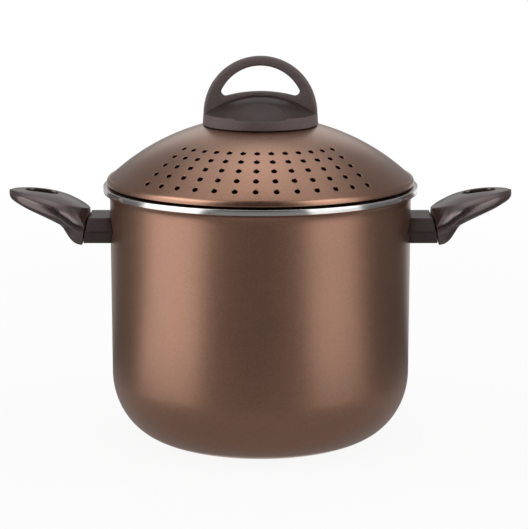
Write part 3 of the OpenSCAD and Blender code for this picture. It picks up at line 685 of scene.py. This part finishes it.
def makeKnob():
    p = SimpleNamespace(**knob)
    domeR = lid["domeRadius"]
    domeZ = lid["flatTop"] - math.sqrt(domeR ** 2 - lid["flatRadius"] ** 2)
    bottom, foot = [onBall(r, domeZ, domeR + p.domeGap) for r in (p.radius, p.radius - p.draft - p.shell)]
    bandTop = bottom[1] + p.bandHeight
    crownBase = p.radius - p.draft
    crownR = (crownBase ** 2 + p.crown ** 2) / (2 * p.crown)
    crownZ = bandTop + p.crown - crownR

    # base: hub and hollow below, band at the side, crown above
    bush, spindle, insert = [boxInMm(node)[1] for node in ("lid_bush", "knob_spindle", "knob_insert")]
    insertR, spindleR, hubR = insert[0] + p.boreGap, spindle[0] + p.boreGap, p.hubRadius
    insertZ = insert[2] + p.roofGap
    ceiling = crownR - p.shell
    under = [[0, insertZ], [insertR, insertZ], [insertR, spindle[2]], [spindleR, spindle[2]],
             [spindleR, bush[2]], [hubR, bush[2]]]
    roof = onBall(np.linspace(hubR, foot[0], 14), crownZ, ceiling)
    band = fillet([foot, bottom, [crownBase, bandTop], [0, bandTop + p.crown]], [0, *p.bandRounds, 0], 4)
    band = spread(band[1:-1], p.bandStep)
    crown = onBall(np.linspace(crownBase - p.bandRounds[1], 0, p.crownSteps + 1), crownZ, crownR)
    profile = join([under, roof, [foot], band, crown])
    points, faceSets = revolve(profile, p.columns)

    # thumb scoops, in front and behind: inside the line y = start + x^2 / width the surface is lowered by
    # depth * (1 - exp(-distance / lead)), but not at the pole nor under the band
    x, y, z = points.T
    inside = np.maximum(np.abs(y) - p.scoopStart - x ** 2 / p.scoopWidth, 0)
    above = z - (bandTop - p.scoopBelow)
    fade = np.clip(above / p.scoopFade, 0, 1) * (np.hypot(x, y) > 1)
    z -= p.scoopDepth * (1 - np.exp(-inside / p.scoopLead)) * fade * (above > 0)
    # the hollow and the band take the grained plastic, whose lighter colour is painted light
    grainedPaintedLight = np.arange(len(profile)) < len(profile) - len(crown)
    base = outward(np.stack([x, y, z], 1),
                   [(faces, np.where(grainedPaintedLight[stretch], 1, 0)) for faces, stretch in faceSets])

    # arch: the finger opening's outline and the arch's own, point for point, in the x-z plane
    archR = crownBase - p.archInset
    fingerR = archR - p.archSide
    fingerZ = bandTop + p.archSide - p.archTop
    floorZ = bandTop + p.crown + p.floorUp - p.floorRadius
    a, b = fingerR - p.cornerRound, p.floorRadius + p.cornerRound
    cornerZ = (b * b - a * a + fingerZ ** 2 - floorZ ** 2) / (2 * (fingerZ - floorZ))
    cornerX = math.sqrt(a * a - (cornerZ - fingerZ) ** 2)
    upTurn = math.degrees(math.atan2(cornerZ - fingerZ, cornerX))
    floorTurn = math.degrees(math.atan2(cornerZ - floorZ, cornerX))
    innerHalf = join([
        arc((0, fingerZ), fingerR, 90, upTurn, steps=40)[:-1],
        arc((cornerX, cornerZ), p.cornerRound, upTurn, floorTurn - 180, steps=14)[:-1],
        arc((0, floorZ), p.floorRadius, floorTurn, 90, steps=16)])
    hidden = crownR - p.shell / 2  # the arch ends inside the crown's shell
    outerHalf = join([
        arc((0, bandTop), archR, 90, 20, steps=40)[:-1],
        arc((0, bandTop), archR, 20, 0, steps=14)[:-1],
        onBall(np.linspace(archR - p.archRoot, 0, 17), crownZ, hidden)])
    inner, outer = [join([line, (line * [-1, 1])[-2:0:-1]]) for line in (innerHalf, outerHalf)]
    length = np.hypot(*(inner - outer).T)[:, None]
    way = (inner - outer) / length

    # its section, from the outer line towards the opening: a rectangle with rounded corners
    half = p.archWidth / 2
    turn = np.radians(np.linspace(0, 90, 7))
    ro, ri = p.outerRound, p.innerRound
    nearOuter = np.broadcast_to(ro - ro * np.sin(turn[::-1]), (len(inner), len(turn)))
    inward = join([nearOuter, length - ri + ri * np.sin(turn)], 1)
    inward = join([inward, inward[:, ::-1]], 1)
    side = join([half - ro + ro * np.cos(turn[::-1]), half - ri + ri * np.cos(turn)])
    side = join([side, -side[::-1]])
    flat = outer[:, None] + way[:, None] * inward[..., None]
    arch = np.stack([flat[..., 0], np.broadcast_to(side, inward.shape), flat[..., 1]], -1)
    # the arch takes the same lighter plastic as the band, its extra lightness painted light
    makePiece("knobGrip", "knob", ["knob_grip"], [base, closedTube(arch, 1)],
              [softTouch, grainedPaintedLightPlastic], sharp=40)


makeKnob()

# the side handles
handle = {
    "wall": pot["lipRadius"] - pot["lipOut"] + 0.05,
    "middle": 158.4,  # height of the neck's middle
    "seat": 130.1,  # distance of the joint between neck and grip from the axis, at that height
    "lean": 11.2,  # degrees, of that joint
    "leanEnd": 0.38,  # share of the grip's length over which the lean dies away
    "length": 57.9,
    "rise": 28.8,
    "neckWidth": 56.0,
    "neckFlat": 36.0,  # width of its flat top and bottom
    "neckHeight": 19.0,
    "neckEdge": 0.5,  # its side edges above its middle
    "neckRounds": (1.6, 1.2),  # of its corners and of those edges
    "neckBevel": 0.45,
    "neckWall": 2.0,
    "neckStep": 1.5,
    "parting": 0.3,  # the dark line between neck and grip
    "jointRound": 1.4,
    "width": 58.0,
    "faceWidth": 47.0,  # of the top face, from crease to crease
    "faceMiddle": 0.343,  # where it is widest
    "faceOpens": 0.8,  # powers in its outline, before the middle and after it
    "faceCloses": (1.5, 0.65),
    "heelFace": 4.0,  # its least width in the half near the joint
    "tip": 0.84,  # where the side starts to close round the tip
    "crown": 70.0,  # radius of the top face across the grip
    "ridge": 0.52,  # height of the side's edge, as a share of the section
    "ridgeHeight": 3.6,
    "rim": 5.5,  # from the crease out to the side's edge, seen from above
    "bow": 1.1,  # how far the side stands out from straight lines, above and below its edge
    "bowStart": (1.0, 12.0),  # distances from the joint between which the bow begins
    "bowEnd": (12.0, 4.0),  # distances from the tip between which it dies away
    "underside": 0.62,  # width of the flat bottom, as a share of the grip's
    "creaseUp": 4.9,  # at the joint, the crease above the neck and the bottom below it
    "bottomDown": 1.6,
    "creaseCurve": [[0.3, 0.71], [0.62, 0.98], [1, 0.99]],  # control points, in shares of length and rise
    "bottomFlat": 0.17,
    "bottomCurve": [[0.23, -0.12], [0.31, 0.125], [0.4, 0.245], [0.8, 0.54], [1, 0.785]],
    "holeX": 163.6,
    "holeLength": 24.0,
    "holeWidth": 15.0,
    "ledges": (1.8, 3.2),  # least distance of a section's middle corners from its outline and from the hole
    "leastSide": 0.5,  # least width over which the side slopes
    "steps": 1.0,  # mm between sections
    "cornerPoints": 8,
    "stretchPoints": 7,  # between two corners
    # roundings of side low, bottom, hole low, hole top, crease and side high
    "edges": [1.6, 4.0, 1.4, 1.8, 1.0, 1.6],
    "longestEdge": 0.45,  # share of a stretch that a rounding may take up
}


def bezier(corners):
    # (1-t)^3 a + 3 t (1-t)^2 b + 3 t^2 (1-t) c + t^3 d, at 25 points
    t = np.linspace(0, 1, 25)[:, None]
    a, b, c, d = np.asarray(corners, float)
    return (1 - t) ** 3 * a + 3 * t * (1 - t) ** 2 * b + 3 * t * t * (1 - t) * c + t ** 3 * d


def smooth(x, low, high):
    # 0 below low, 1 above high, 3 t^2 - 2 t^3 between
    t = np.clip((x - low) / (high - low), 0, 1)
    return t * t * (3 - 2 * t)


def gripHeights(x):
    # at a distance from the axis, the height of the crease, the bottom and the side's edge, and half the
    # width of the top face and of the grip
    p = SimpleNamespace(**handle)
    s = np.clip((x - p.seat) / p.length, 0, 1)
    half, curve = p.neckHeight / 2, p.bottomCurve
    low = -(half + p.bottomDown) / p.rise
    creaseLine = bezier([[0, (half + p.creaseUp) / p.rise], *p.creaseCurve])
    bottomLine = join([bezier([[0, low], [p.bottomFlat, low], *curve[:2]]), bezier(curve[1:])[1:]])
    crease = p.middle + p.rise * np.interp(s, *creaseLine.T)
    bottom = p.middle + p.rise * np.interp(s, *bottomLine.T)
    # the face's width goes as sin(s to its middle) ^ a, and then as (1 - (s from its middle) ^ b) ^ c
    first, second = p.faceCloses
    before = np.sin(np.pi / 2 * np.minimum(s / p.faceMiddle, 1)) ** p.faceOpens
    after = (1 - (np.maximum(s - p.faceMiddle, 0) / (1 - p.faceMiddle)) ** first) ** second
    face = np.maximum(p.faceWidth * before * after, p.heelFace * (s < 0.5)) / 2
    grows = (p.neckWidth + (p.width - p.neckWidth) * s / p.faceMiddle) / 2
    closes = face + p.rim * np.sqrt(1 - np.clip((s - p.tip) / (1 - p.tip), 0, 1) ** 2)
    side = np.where(s < p.faceMiddle, grows, closes)
    return crease, bottom, bottom + p.ridge * (crease - bottom), face, side


def gripShell():
    # Sections stand round the finger hole, each from the grip's outline in plan to the hole's. Their corners
    # are: side low, bottom, hole low, hole top, crease and side high.
    p = SimpleNamespace(**handle)
    joint, tip, halfJoint = p.seat + p.parting, p.seat + p.length, p.neckWidth / 2
    turn = np.sin(np.radians(np.linspace(0, 90, 91)))
    x = p.seat + p.length * (p.faceMiddle + (1 - p.faceMiddle) * turn)
    sides = np.stack([x, -gripHeights(x)[4]], 1)
    sides = join([sides, sides[-2::-1] * [1, -1]])
    outline = join([[[joint, -halfJoint]], sides, [[joint, halfJoint]]])
    outline = fillet(outline, [p.jointRound] + [0] * len(sides) + [p.jointRound], 5)
    outline = closedSpread(outline, p.steps)

    # the hole: a slot along x with round ends, in the same directions from its middle
    out = outline - [p.holeX, 0]
    angle = np.arctan2(out[:, 1], out[:, 0])
    r = p.holeWidth / 2
    shift = p.holeLength / 2 - r
    c, s = np.abs(np.cos(angle)), np.abs(np.sin(angle))
    reach = np.where(r * c <= shift * s, r / np.maximum(s, 1e-6),
                     shift * c + np.sqrt(np.maximum(r * r - (shift * s) ** 2, 0)))
    hole = np.stack([p.holeX + reach * np.cos(angle), reach * np.sin(angle)], 1)
    across = hole - outline
    length = np.hypot(*across.T)[:, None]

    def placeAt(t):
        # x and y at share t of the way from the outline to the hole
        return outline[:, None] + across[:, None] * t[..., None]

    # the shares where a section meets the edge of the flat bottom and the crease
    shares = np.linspace(0, 1, 400)
    place = placeAt(shares[None])
    face, half = gripHeights(place[..., 0])[3:]
    atBottom, atCrease = [
        np.clip(shares[np.argmax(np.abs(place[..., 1]) <= limit, 1)][:, None],
                p.ledges[0] / length, 1 - p.ledges[1] / length)
        for limit in (p.underside * half, face)]

    def along(t, height):
        # place at share t, with its height from a function of x and y
        spot = placeAt(t)
        return join([spot, height(spot[..., 0], spot[..., 1])[..., None]], 2)

    def topOf(x, y):
        # a barrel: the crease's height + (face^2 - y^2) / (2 crown)
        crease, _, _, face, _ = gripHeights(x)
        return crease + (face ** 2 - y ** 2) / (2 * p.crown)

    def bottomOf(x, y):
        return gripHeights(x)[1]

    def slope(start, end, distance, width):
        # evenly from one height to another over a width
        return start + np.clip(distance / np.maximum(width, p.leastSide), 0, 1) * (end - start)

    def sideHigh(x, y):
        crease, _, ridge, face, half = gripHeights(x)
        side = slope(ridge + p.ridgeHeight / 2, crease, half - np.abs(y), half - face)
        return np.where(np.abs(y) > face, side, topOf(x, y))

    def sideLow(x, y):
        _, bottom, ridge, _, half = gripHeights(x)
        return slope(ridge - p.ridgeHeight / 2, bottom, half - np.abs(y), half * (1 - p.underside))

    def cornerAt(t, height):
        return along(t + 0 * length, height)[:, 0]

    lowEdge, highEdge = cornerAt(0, sideLow), cornerAt(0, sideHigh)
    lowHole, highHole = cornerAt(1, bottomOf), cornerAt(1, topOf)
    lowTurn, highTurn = cornerAt(atBottom, bottomOf), cornerAt(atCrease, topOf)

    # the sides stand out from straight lines by bow * 4 t (1 - t), but for the joint and the tip
    edgeX = outline[:, :1]
    bow = p.bow * smooth(edgeX, *(p.seat + d for d in p.bowStart)) \
        * (1 - smooth(edgeX, *(tip - d for d in p.bowEnd)))
    off = (-bow * join([across / length, 0 * length], 1))[:, None]

    def straight(a, b):
        return lambda t: a[:, None] + (b - a)[:, None] * t[..., None]

    def bowed(a, b):
        return lambda t: straight(a, b)(t) + off * (4 * t * (1 - t))[..., None]

    corners = [lowEdge, lowTurn, lowHole, highHole, highTurn, highEdge]
    stretches = [
        bowed(lowEdge, lowTurn),
        lambda t: along(atBottom + (1 - atBottom) * t, bottomOf),
        straight(lowHole, highHole),
        lambda t: along(1 + (atCrease - 1) * t, topOf),
        bowed(highTurn, highEdge),
        straight(highEdge, lowEdge)]
    count = len(corners)
    reaches = [np.linalg.norm(corners[(k + 1) % count] - corners[k], axis=1)[:, None] for k in range(count)]

    def rounding(k, stretch):
        # share of a stretch that the rounding of a corner beside it takes up
        return np.minimum(p.edges[k % count] / reaches[stretch], p.longestEdge)

    sections = []
    u = np.linspace(0, 1, p.cornerPoints)[None, :, None]
    between = np.linspace(0, 1, p.stretchPoints + 2)[None, 1:-1]
    for k in range(count):
        # a corner's rounding: (1-u)^2 before + 2 u (1-u) corner + u^2 after, then the stretch that follows
        first, last = rounding(k, k), 1 - rounding(k + 1, k)
        before, after = stretches[k - 1](1 - rounding(k, k - 1)), stretches[k](first)
        sections.append((1 - u) ** 2 * before + 2 * u * (1 - u) * corners[k][:, None] + u ** 2 * after)
        sections.append(stretches[k](first + (last - first) * between))
    points = join(sections, 1)

    # the joint's lean is laid over it last, dying away as (1 - s)^2 (1 + 2 s)
    s = np.clip((points[..., 0] - p.seat) / p.length / p.leanEnd, 0, 1)
    lean = math.tan(math.radians(p.lean)) * (1 - s) ** 2 * (1 + 2 * s)
    points[..., 0] -= (points[..., 2] - p.middle) * lean
    return closedTube(points)


def neckShell():
    # the neck's six-sided section, carried from the pot's round wall to the leaning joint; a tube, so that it
    # has an inside
    p = SimpleNamespace(**handle)
    m, h = p.middle, p.neckHeight / 2
    flat, half, edge = p.neckFlat / 2, p.neckWidth / 2, m + p.neckEdge
    corner, side = p.neckRounds
    outer = fillet([[flat, m + h], [half, edge], [flat, m - h], [-flat, m - h], [-half, edge], [-flat, m + h]],
                   [corner, side, corner] * 2, 6)
    outer = closedSpread(outer, p.neckStep)
    middle = np.array([0, m])
    lean = math.tan(math.radians(p.lean))

    def drawnIn(section, inset):
        away = section - middle
        return middle + away * (1 - inset / np.hypot(*away.T))[:, None]

    def fromWall(section, distance, inset=0.0):
        # sqrt(wall^2 - y^2) + distance
        y, z = drawnIn(section, inset).T
        return np.stack([np.sqrt(p.wall ** 2 - y ** 2) + distance, y, z], 1)

    def fromJoint(section, distance, inset=0.0):
        # seat - parting - (z - middle) * tan(lean) - distance
        y, z = drawnIn(section, inset).T
        return np.stack([p.seat - p.parting - (z - m) * lean - distance, y, z], 1)

    inner, bevel = drawnIn(outer, p.neckWall), p.neckBevel
    small = bevel * 0.3  # the bevel is rounded by one row between its ends
    return closedTube(np.stack([
        fromWall(outer, 0, bevel), fromWall(outer, small, small), fromWall(outer, bevel),
        fromWall(outer, 4), fromWall(outer, 9), fromJoint(outer, 4), fromJoint(outer, bevel),
        fromJoint(outer, small, small), fromJoint(outer, 0, bevel), fromJoint(inner, 0),
        fromJoint(inner, 6), fromWall(inner, 4), fromWall(inner, 0)]))


def makeHandles():
    # the left handle is the right one with -x for x
    parts = (("Grip", gripShell(), handlePlastic, 40), ("Neck", neckShell(), neckPlastic, 30))
    for side, way in (("right", 1), ("left", -1)):
        for part, (points, faceSets), material, sharp in parts:
            shell = outward(points * [way, 1, 1], faceSets)
            makePiece(side + part, "pot", [side + "_" + part.lower()], [shell], [material],
                      sharp)


makeHandles()

# the wave spring
spring = {"waves": 3, "thickness": 0.4, "innerRadius": 7.6, "columns": 144}


def makeSpring():
    # flat ring whose height swings as sin(waves * a) between the cam plate and the lid
    outerR, lowZ, highZ = springHigh[0], springLow[2], springHigh[2]
    innerR, half = spring["innerRadius"], spring["thickness"] / 2
    a = 2 * np.pi * np.arange(spring["columns"]) / spring["columns"]
    section = fillet([[innerR, -half], [outerR, -half], [outerR, half], [innerR, half]], [half * 0.6] * 4, 3)
    points = turned(section, a)
    points[..., 2] += (lowZ + highZ) / 2 + ((highZ - lowZ) / 2 - half) * np.sin(spring["waves"] * a)
    makePiece("waveSpring", "lid", ["wave_spring"], [closedTube(points)], [steelSheet])


makeSpring()

# the pieces that keep their CAD shape
slotMaterials = {
    "bronze_body": bodyBronze, "bronze_lid": lidBronze, "soft_touch": softTouch, "steel": steelSheet,
    "screws": turnedSteel, "rivet_metal": rivetMetal, "bush_plastic": acetal, "insert_brass": brass,
}


def dressNodes():
    for row in frame["record"]["subparts"]:
        node = frame["nodes"][row["node"]]
        node.data.materials.clear()
        node.data.materials.append(slotMaterials[row["material_slot"]])


dressNodes()
print("CAD nodes dressed")

# the studio; lengths in metres
studio = {
    "ambient": 0.45,
    # how much of the floor's real light, and so of its shadow, shows; it dies away between two distances
    "shadowFade": {"From Min": 0.3, "From Max": 1.2, "To Min": 0.09, "To Max": 0.0},
    "floorRadius": 4.0,
    "floorCorners": 96,
    "cardRadius": 2.6,
    "cardColumns": 64,
    "floorCard": (0.085, 0.5),  # radii of the first rings of the card on the floor
    "floorCardUp": 0.0008,  # its height
    "eye": (0.1, 0.12),  # from the axis and above the floor, from where the cards' angles are counted
}


def seen(tree):
    # 1 for rays from the camera, from gloss and through glass, which see the white background
    path = addNode(tree, "LightPath").outputs
    first = addNode(tree, "Math", {0: path["Is Camera Ray"], 1: path["Is Glossy Ray"]}, operation="MAXIMUM")
    return addNode(tree, "Math", {0: first, 1: path["Is Transmission Ray"]}, operation="MAXIMUM")


def makeWorld():
    world = bpy.data.worlds.new("studio")
    bpy.context.scene.world = world
    world.use_nodes = True
    tree = world.node_tree
    tree.nodes.clear()
    ambient, white = [addNode(tree, "Background", {"Color": linear("#FFFFFF"), "Strength": level})
                      for level in (studio["ambient"], 1.0)]
    both = addNode(tree, "MixShader", {0: seen(tree), 1: ambient, 2: white})
    addNode(tree, "OutputWorld", {"Surface": both})


def stagePiece(name, points, faces, material):
    # a piece of the set, which isn't part of the object
    mesh = bpy.data.meshes.new(name)
    mesh.from_pydata(points, [], faces)
    mesh.materials.append(material)
    piece = addObject(name, mesh)
    return piece


def makeFloor():
    # pale floor that shows as white, with a share of its real light kept for the shadow; that share fades
    # away with distance, so that the floor runs into the background
    material, tree = emptyMaterial("paleFloor")
    place = addNode(tree, "TexCoord").outputs["Object"]
    away = addNode(tree, "VectorMath", {0: place}, operation="LENGTH")
    share = addNode(tree, "MapRange", {"Value": away, **studio["shadowFade"]})
    white = addNode(tree, "Math", {0: 1.0, 1: share}, operation="SUBTRACT")
    visible = addNode(tree, "Math", {0: seen(tree), 1: white}, operation="MULTIPLY")
    diffuse = addNode(tree, "BsdfDiffuse", {"Color": linear("#F2F2F2")})
    glow = addNode(tree, "Emission", {"Color": linear("#FFFFFF"), "Strength": 1.0})
    both = addNode(tree, "MixShader", {0: visible, 1: diffuse, 2: glow})
    addNode(tree, "OutputMaterial", {"Surface": both})
    corners = studio["floorCorners"]
    edge = turned(np.array([[studio["floorRadius"], 0]]), 2 * np.pi * np.arange(corners) / corners)[0]
    stagePiece("floor", edge.tolist(), [list(range(corners))], material)


# What the gloss mirrors, painted in this order: a level, and windows of angle that bound it. A window is an
# angle's name, its bounds and the softness of its ends, all in degrees; a bound past 90 or 180 is no bound.
# The bearing is 0 in front and 90 at the right, and turn is the same to both sides; the height is counted
# from the horizon, and aside and ahead are the tilts from straight up, to the right and to the front.
upperHalf = ("height", -2, 100, 4)
lowerHalf = ("height", -100, -3, 4)
rear = ("turn", 148, 400, 16)
straightBehind = ("turn", 166, 400, 12)
inFront = ("turn", -1, 30, 4)
sideBox = ("height", -26, 50, 12)
hotStrip = ("height", 32, 48, 7)
overhead = (("ahead", -32, 6, 3), ("height", 40, 100, 8))
background = 0.11
room = [
    (0.22, upperHalf),
    (0.28, rear),  # the wall behind, and its floor
    (0.52, rear, lowerHalf),
    (0.95, ("bearing", 150, 400, 12), lowerHalf),
    (0.04, inFront),  # black flag round the camera, and its floor
    (0.2, inFront, ("height", -100, -3, 5)),
    (0.3, ("height", -100, -42, 12)),  # the floor near the pot
    (0.28, straightBehind, ("height", 3, 14, 3)),  # strips
    (0.85, straightBehind, ("height", 15, 36, 3)),
    (0.6, straightBehind, ("height", 38, 50, 8)),
    (0.48, ("height", 56, 100, 8), ("turn", 40, 400, 30)),  # the ceiling
    (0.32, ("height", -100, -50, 8), ("turn", 76, 104, 8)),  # the floor under the grips
]
leftBox = [(1.5, upperHalf), (3.0, hotStrip)]
rightBox = [(1.5, upperHalf), (2.4, hotStrip)]
leftGround = 1.2
rightGround = {"From Min": 45, "From Max": 62, "To Min": 0.95, "To Max": 0.8}  # level by bearing
topBox = [
    (0.85, *overhead, ("aside", -23, 23, 4)),
    (1.15, *overhead, ("aside", -9, 9, 3)),
    (1.4, ("ahead", -20, -14, 4), ("aside", -8, 8, 3)),
]


def cardMaterial():
    # a softbox on each side, one overhead, a black flag in front and a grey room behind
    material, tree = emptyMaterial("studioCards")
    place = addNode(tree, "SeparateXYZ", {0: addNode(tree, "TexCoord").outputs["Object"]}).outputs

    def degrees(a, b):
        # arctan(a / b) in degrees
        turn = addNode(tree, "Math", {0: a, 1: b}, operation="ARCTAN2")
        return addNode(tree, "Math", {0: turn, 1: 180 / math.pi}, operation="MULTIPLY")

    reach, eye = studio["eye"]
    front = addNode(tree, "Math", {0: place["Y"], 1: -1.0}, operation="MULTIPLY")
    x2, y2 = [addNode(tree, "Math", {0: place[axis], 1: 2.0}, operation="POWER") for axis in "XY"]
    away2 = addNode(tree, "Math", {0: x2, 1: y2}, operation="ADD")
    away = addNode(tree, "Math", {0: away2}, operation="SQRT")
    beyond = addNode(tree, "Math", {0: away, 1: reach}, operation="SUBTRACT")
    above = addNode(tree, "Math", {0: place["Z"], 1: eye}, operation="SUBTRACT")
    angles = {
        "bearing": degrees(place["X"], front),
        "height": degrees(above, beyond),
        "aside": degrees(place["X"], above),
        "ahead": degrees(front, above),
    }
    angles["turn"] = addNode(tree, "Math", {0: angles["bearing"]}, operation="ABSOLUTE")
    windows = {}

    def window(row):
        # 1 between low and high, falling smoothly to 0 over soft beyond them; each window is made once
        if row not in windows:
            name, low, high, soft = row
            rise = {"From Min": low - soft, "From Max": low}
            fall = {"From Min": high, "From Max": high + soft, "To Min": 1.0, "To Max": 0.0}
            up, down = [addNode(tree, "MapRange", {"Value": angles[name], **ends},
                                interpolation_type="SMOOTHSTEP") for ends in (rise, fall)]
            windows[row] = addNode(tree, "Math", {0: up, 1: down}, operation="MULTIPLY")
        return windows[row]

    def painted(ground, rows):
        # each level covers the ground as far as all of its windows are open
        for level, first, *others in rows:
            share = window(first)
            for row in others:
                share = addNode(tree, "Math", {0: share, 1: window(row)}, operation="MULTIPLY")
            ground = addNode(tree, "Mix", {0: share, 2: ground, 3: level})
        return ground

    level = painted(background, room)
    left = painted(leftGround, leftBox)
    right = painted(addNode(tree, "MapRange", {"Value": angles["bearing"], **rightGround}), rightBox)
    level = painted(level, [(left, ("bearing", -88, -42, 3), sideBox),
                            (right, ("bearing", 35, 72, 3), sideBox)])
    glow = addNode(tree, "Emission", {"Color": linear("#FFFFFF"), "Strength": painted(level, topBox)})
    addNode(tree, "OutputMaterial", {"Surface": glow})
    return material


def makeCards():
    # a dome and a ring on the floor round the set, as a photographer's cards; only gloss sees them
    material = cardMaterial()
    radius, up = studio["cardRadius"], studio["floorCardUp"]
    tilt = np.radians(np.linspace(0.5, 90, 24))  # of the dome's rows, from the top down
    a = 2 * np.pi * np.arange(studio["cardColumns"]) / studio["cardColumns"]
    dome = np.stack([radius * np.sin(tilt), radius * np.cos(tilt)], 1)
    ring = np.array([[inner, up] for inner in (*studio["floorCard"], radius)])
    for name, profile in (("cardDome", dome), ("cardFloor", ring)):
        faces = gridFaces(len(profile), len(a), closeColumns=True)
        piece = stagePiece(name, turned(profile, a).reshape(-1, 3).tolist(), faces.tolist(), material)
        piece.visible_camera = piece.visible_diffuse = piece.visible_shadow = False
        piece.visible_transmission = piece.visible_volume_scatter = False


lamps = {
    # name: place and aim in metres, width, height, radiance
    "left": ((-1.05, -0.05, 0.30), (0, 0, 0.12), 0.55, 0.9, 4.2),
    "right": ((1.05, -0.05, 0.30), (0, 0, 0.12), 0.55, 0.9, 4.2),
    "top": ((0, 0.05, 1.45), (0, 0, 0.2), 1.2, 1.2, 0.6),
}


def makeLamps():
    for name, (place, aim, width, height, radiance) in lamps.items():
        data = bpy.data.lights.new(name + "Lamp", "AREA")
        data.shape = "RECTANGLE"
        data.size, data.size_y = width, height
        data.energy = radiance * math.pi * width * height  # an area lamp gives power / (pi * area)
        lamp = addObject(name + "Lamp", data)
        lamp.location = place
        lamp.rotation_euler = (Vector(aim) - Vector(place)).to_track_quat("-Z", "Y").to_euler()
        lamp.visible_camera = lamp.visible_glossy = False  # gloss sees the cards instead


makeWorld()
makeFloor()
makeCards()
makeLamps()
bpy.context.scene.view_settings.view_transform = "Standard"
print("studio ready")
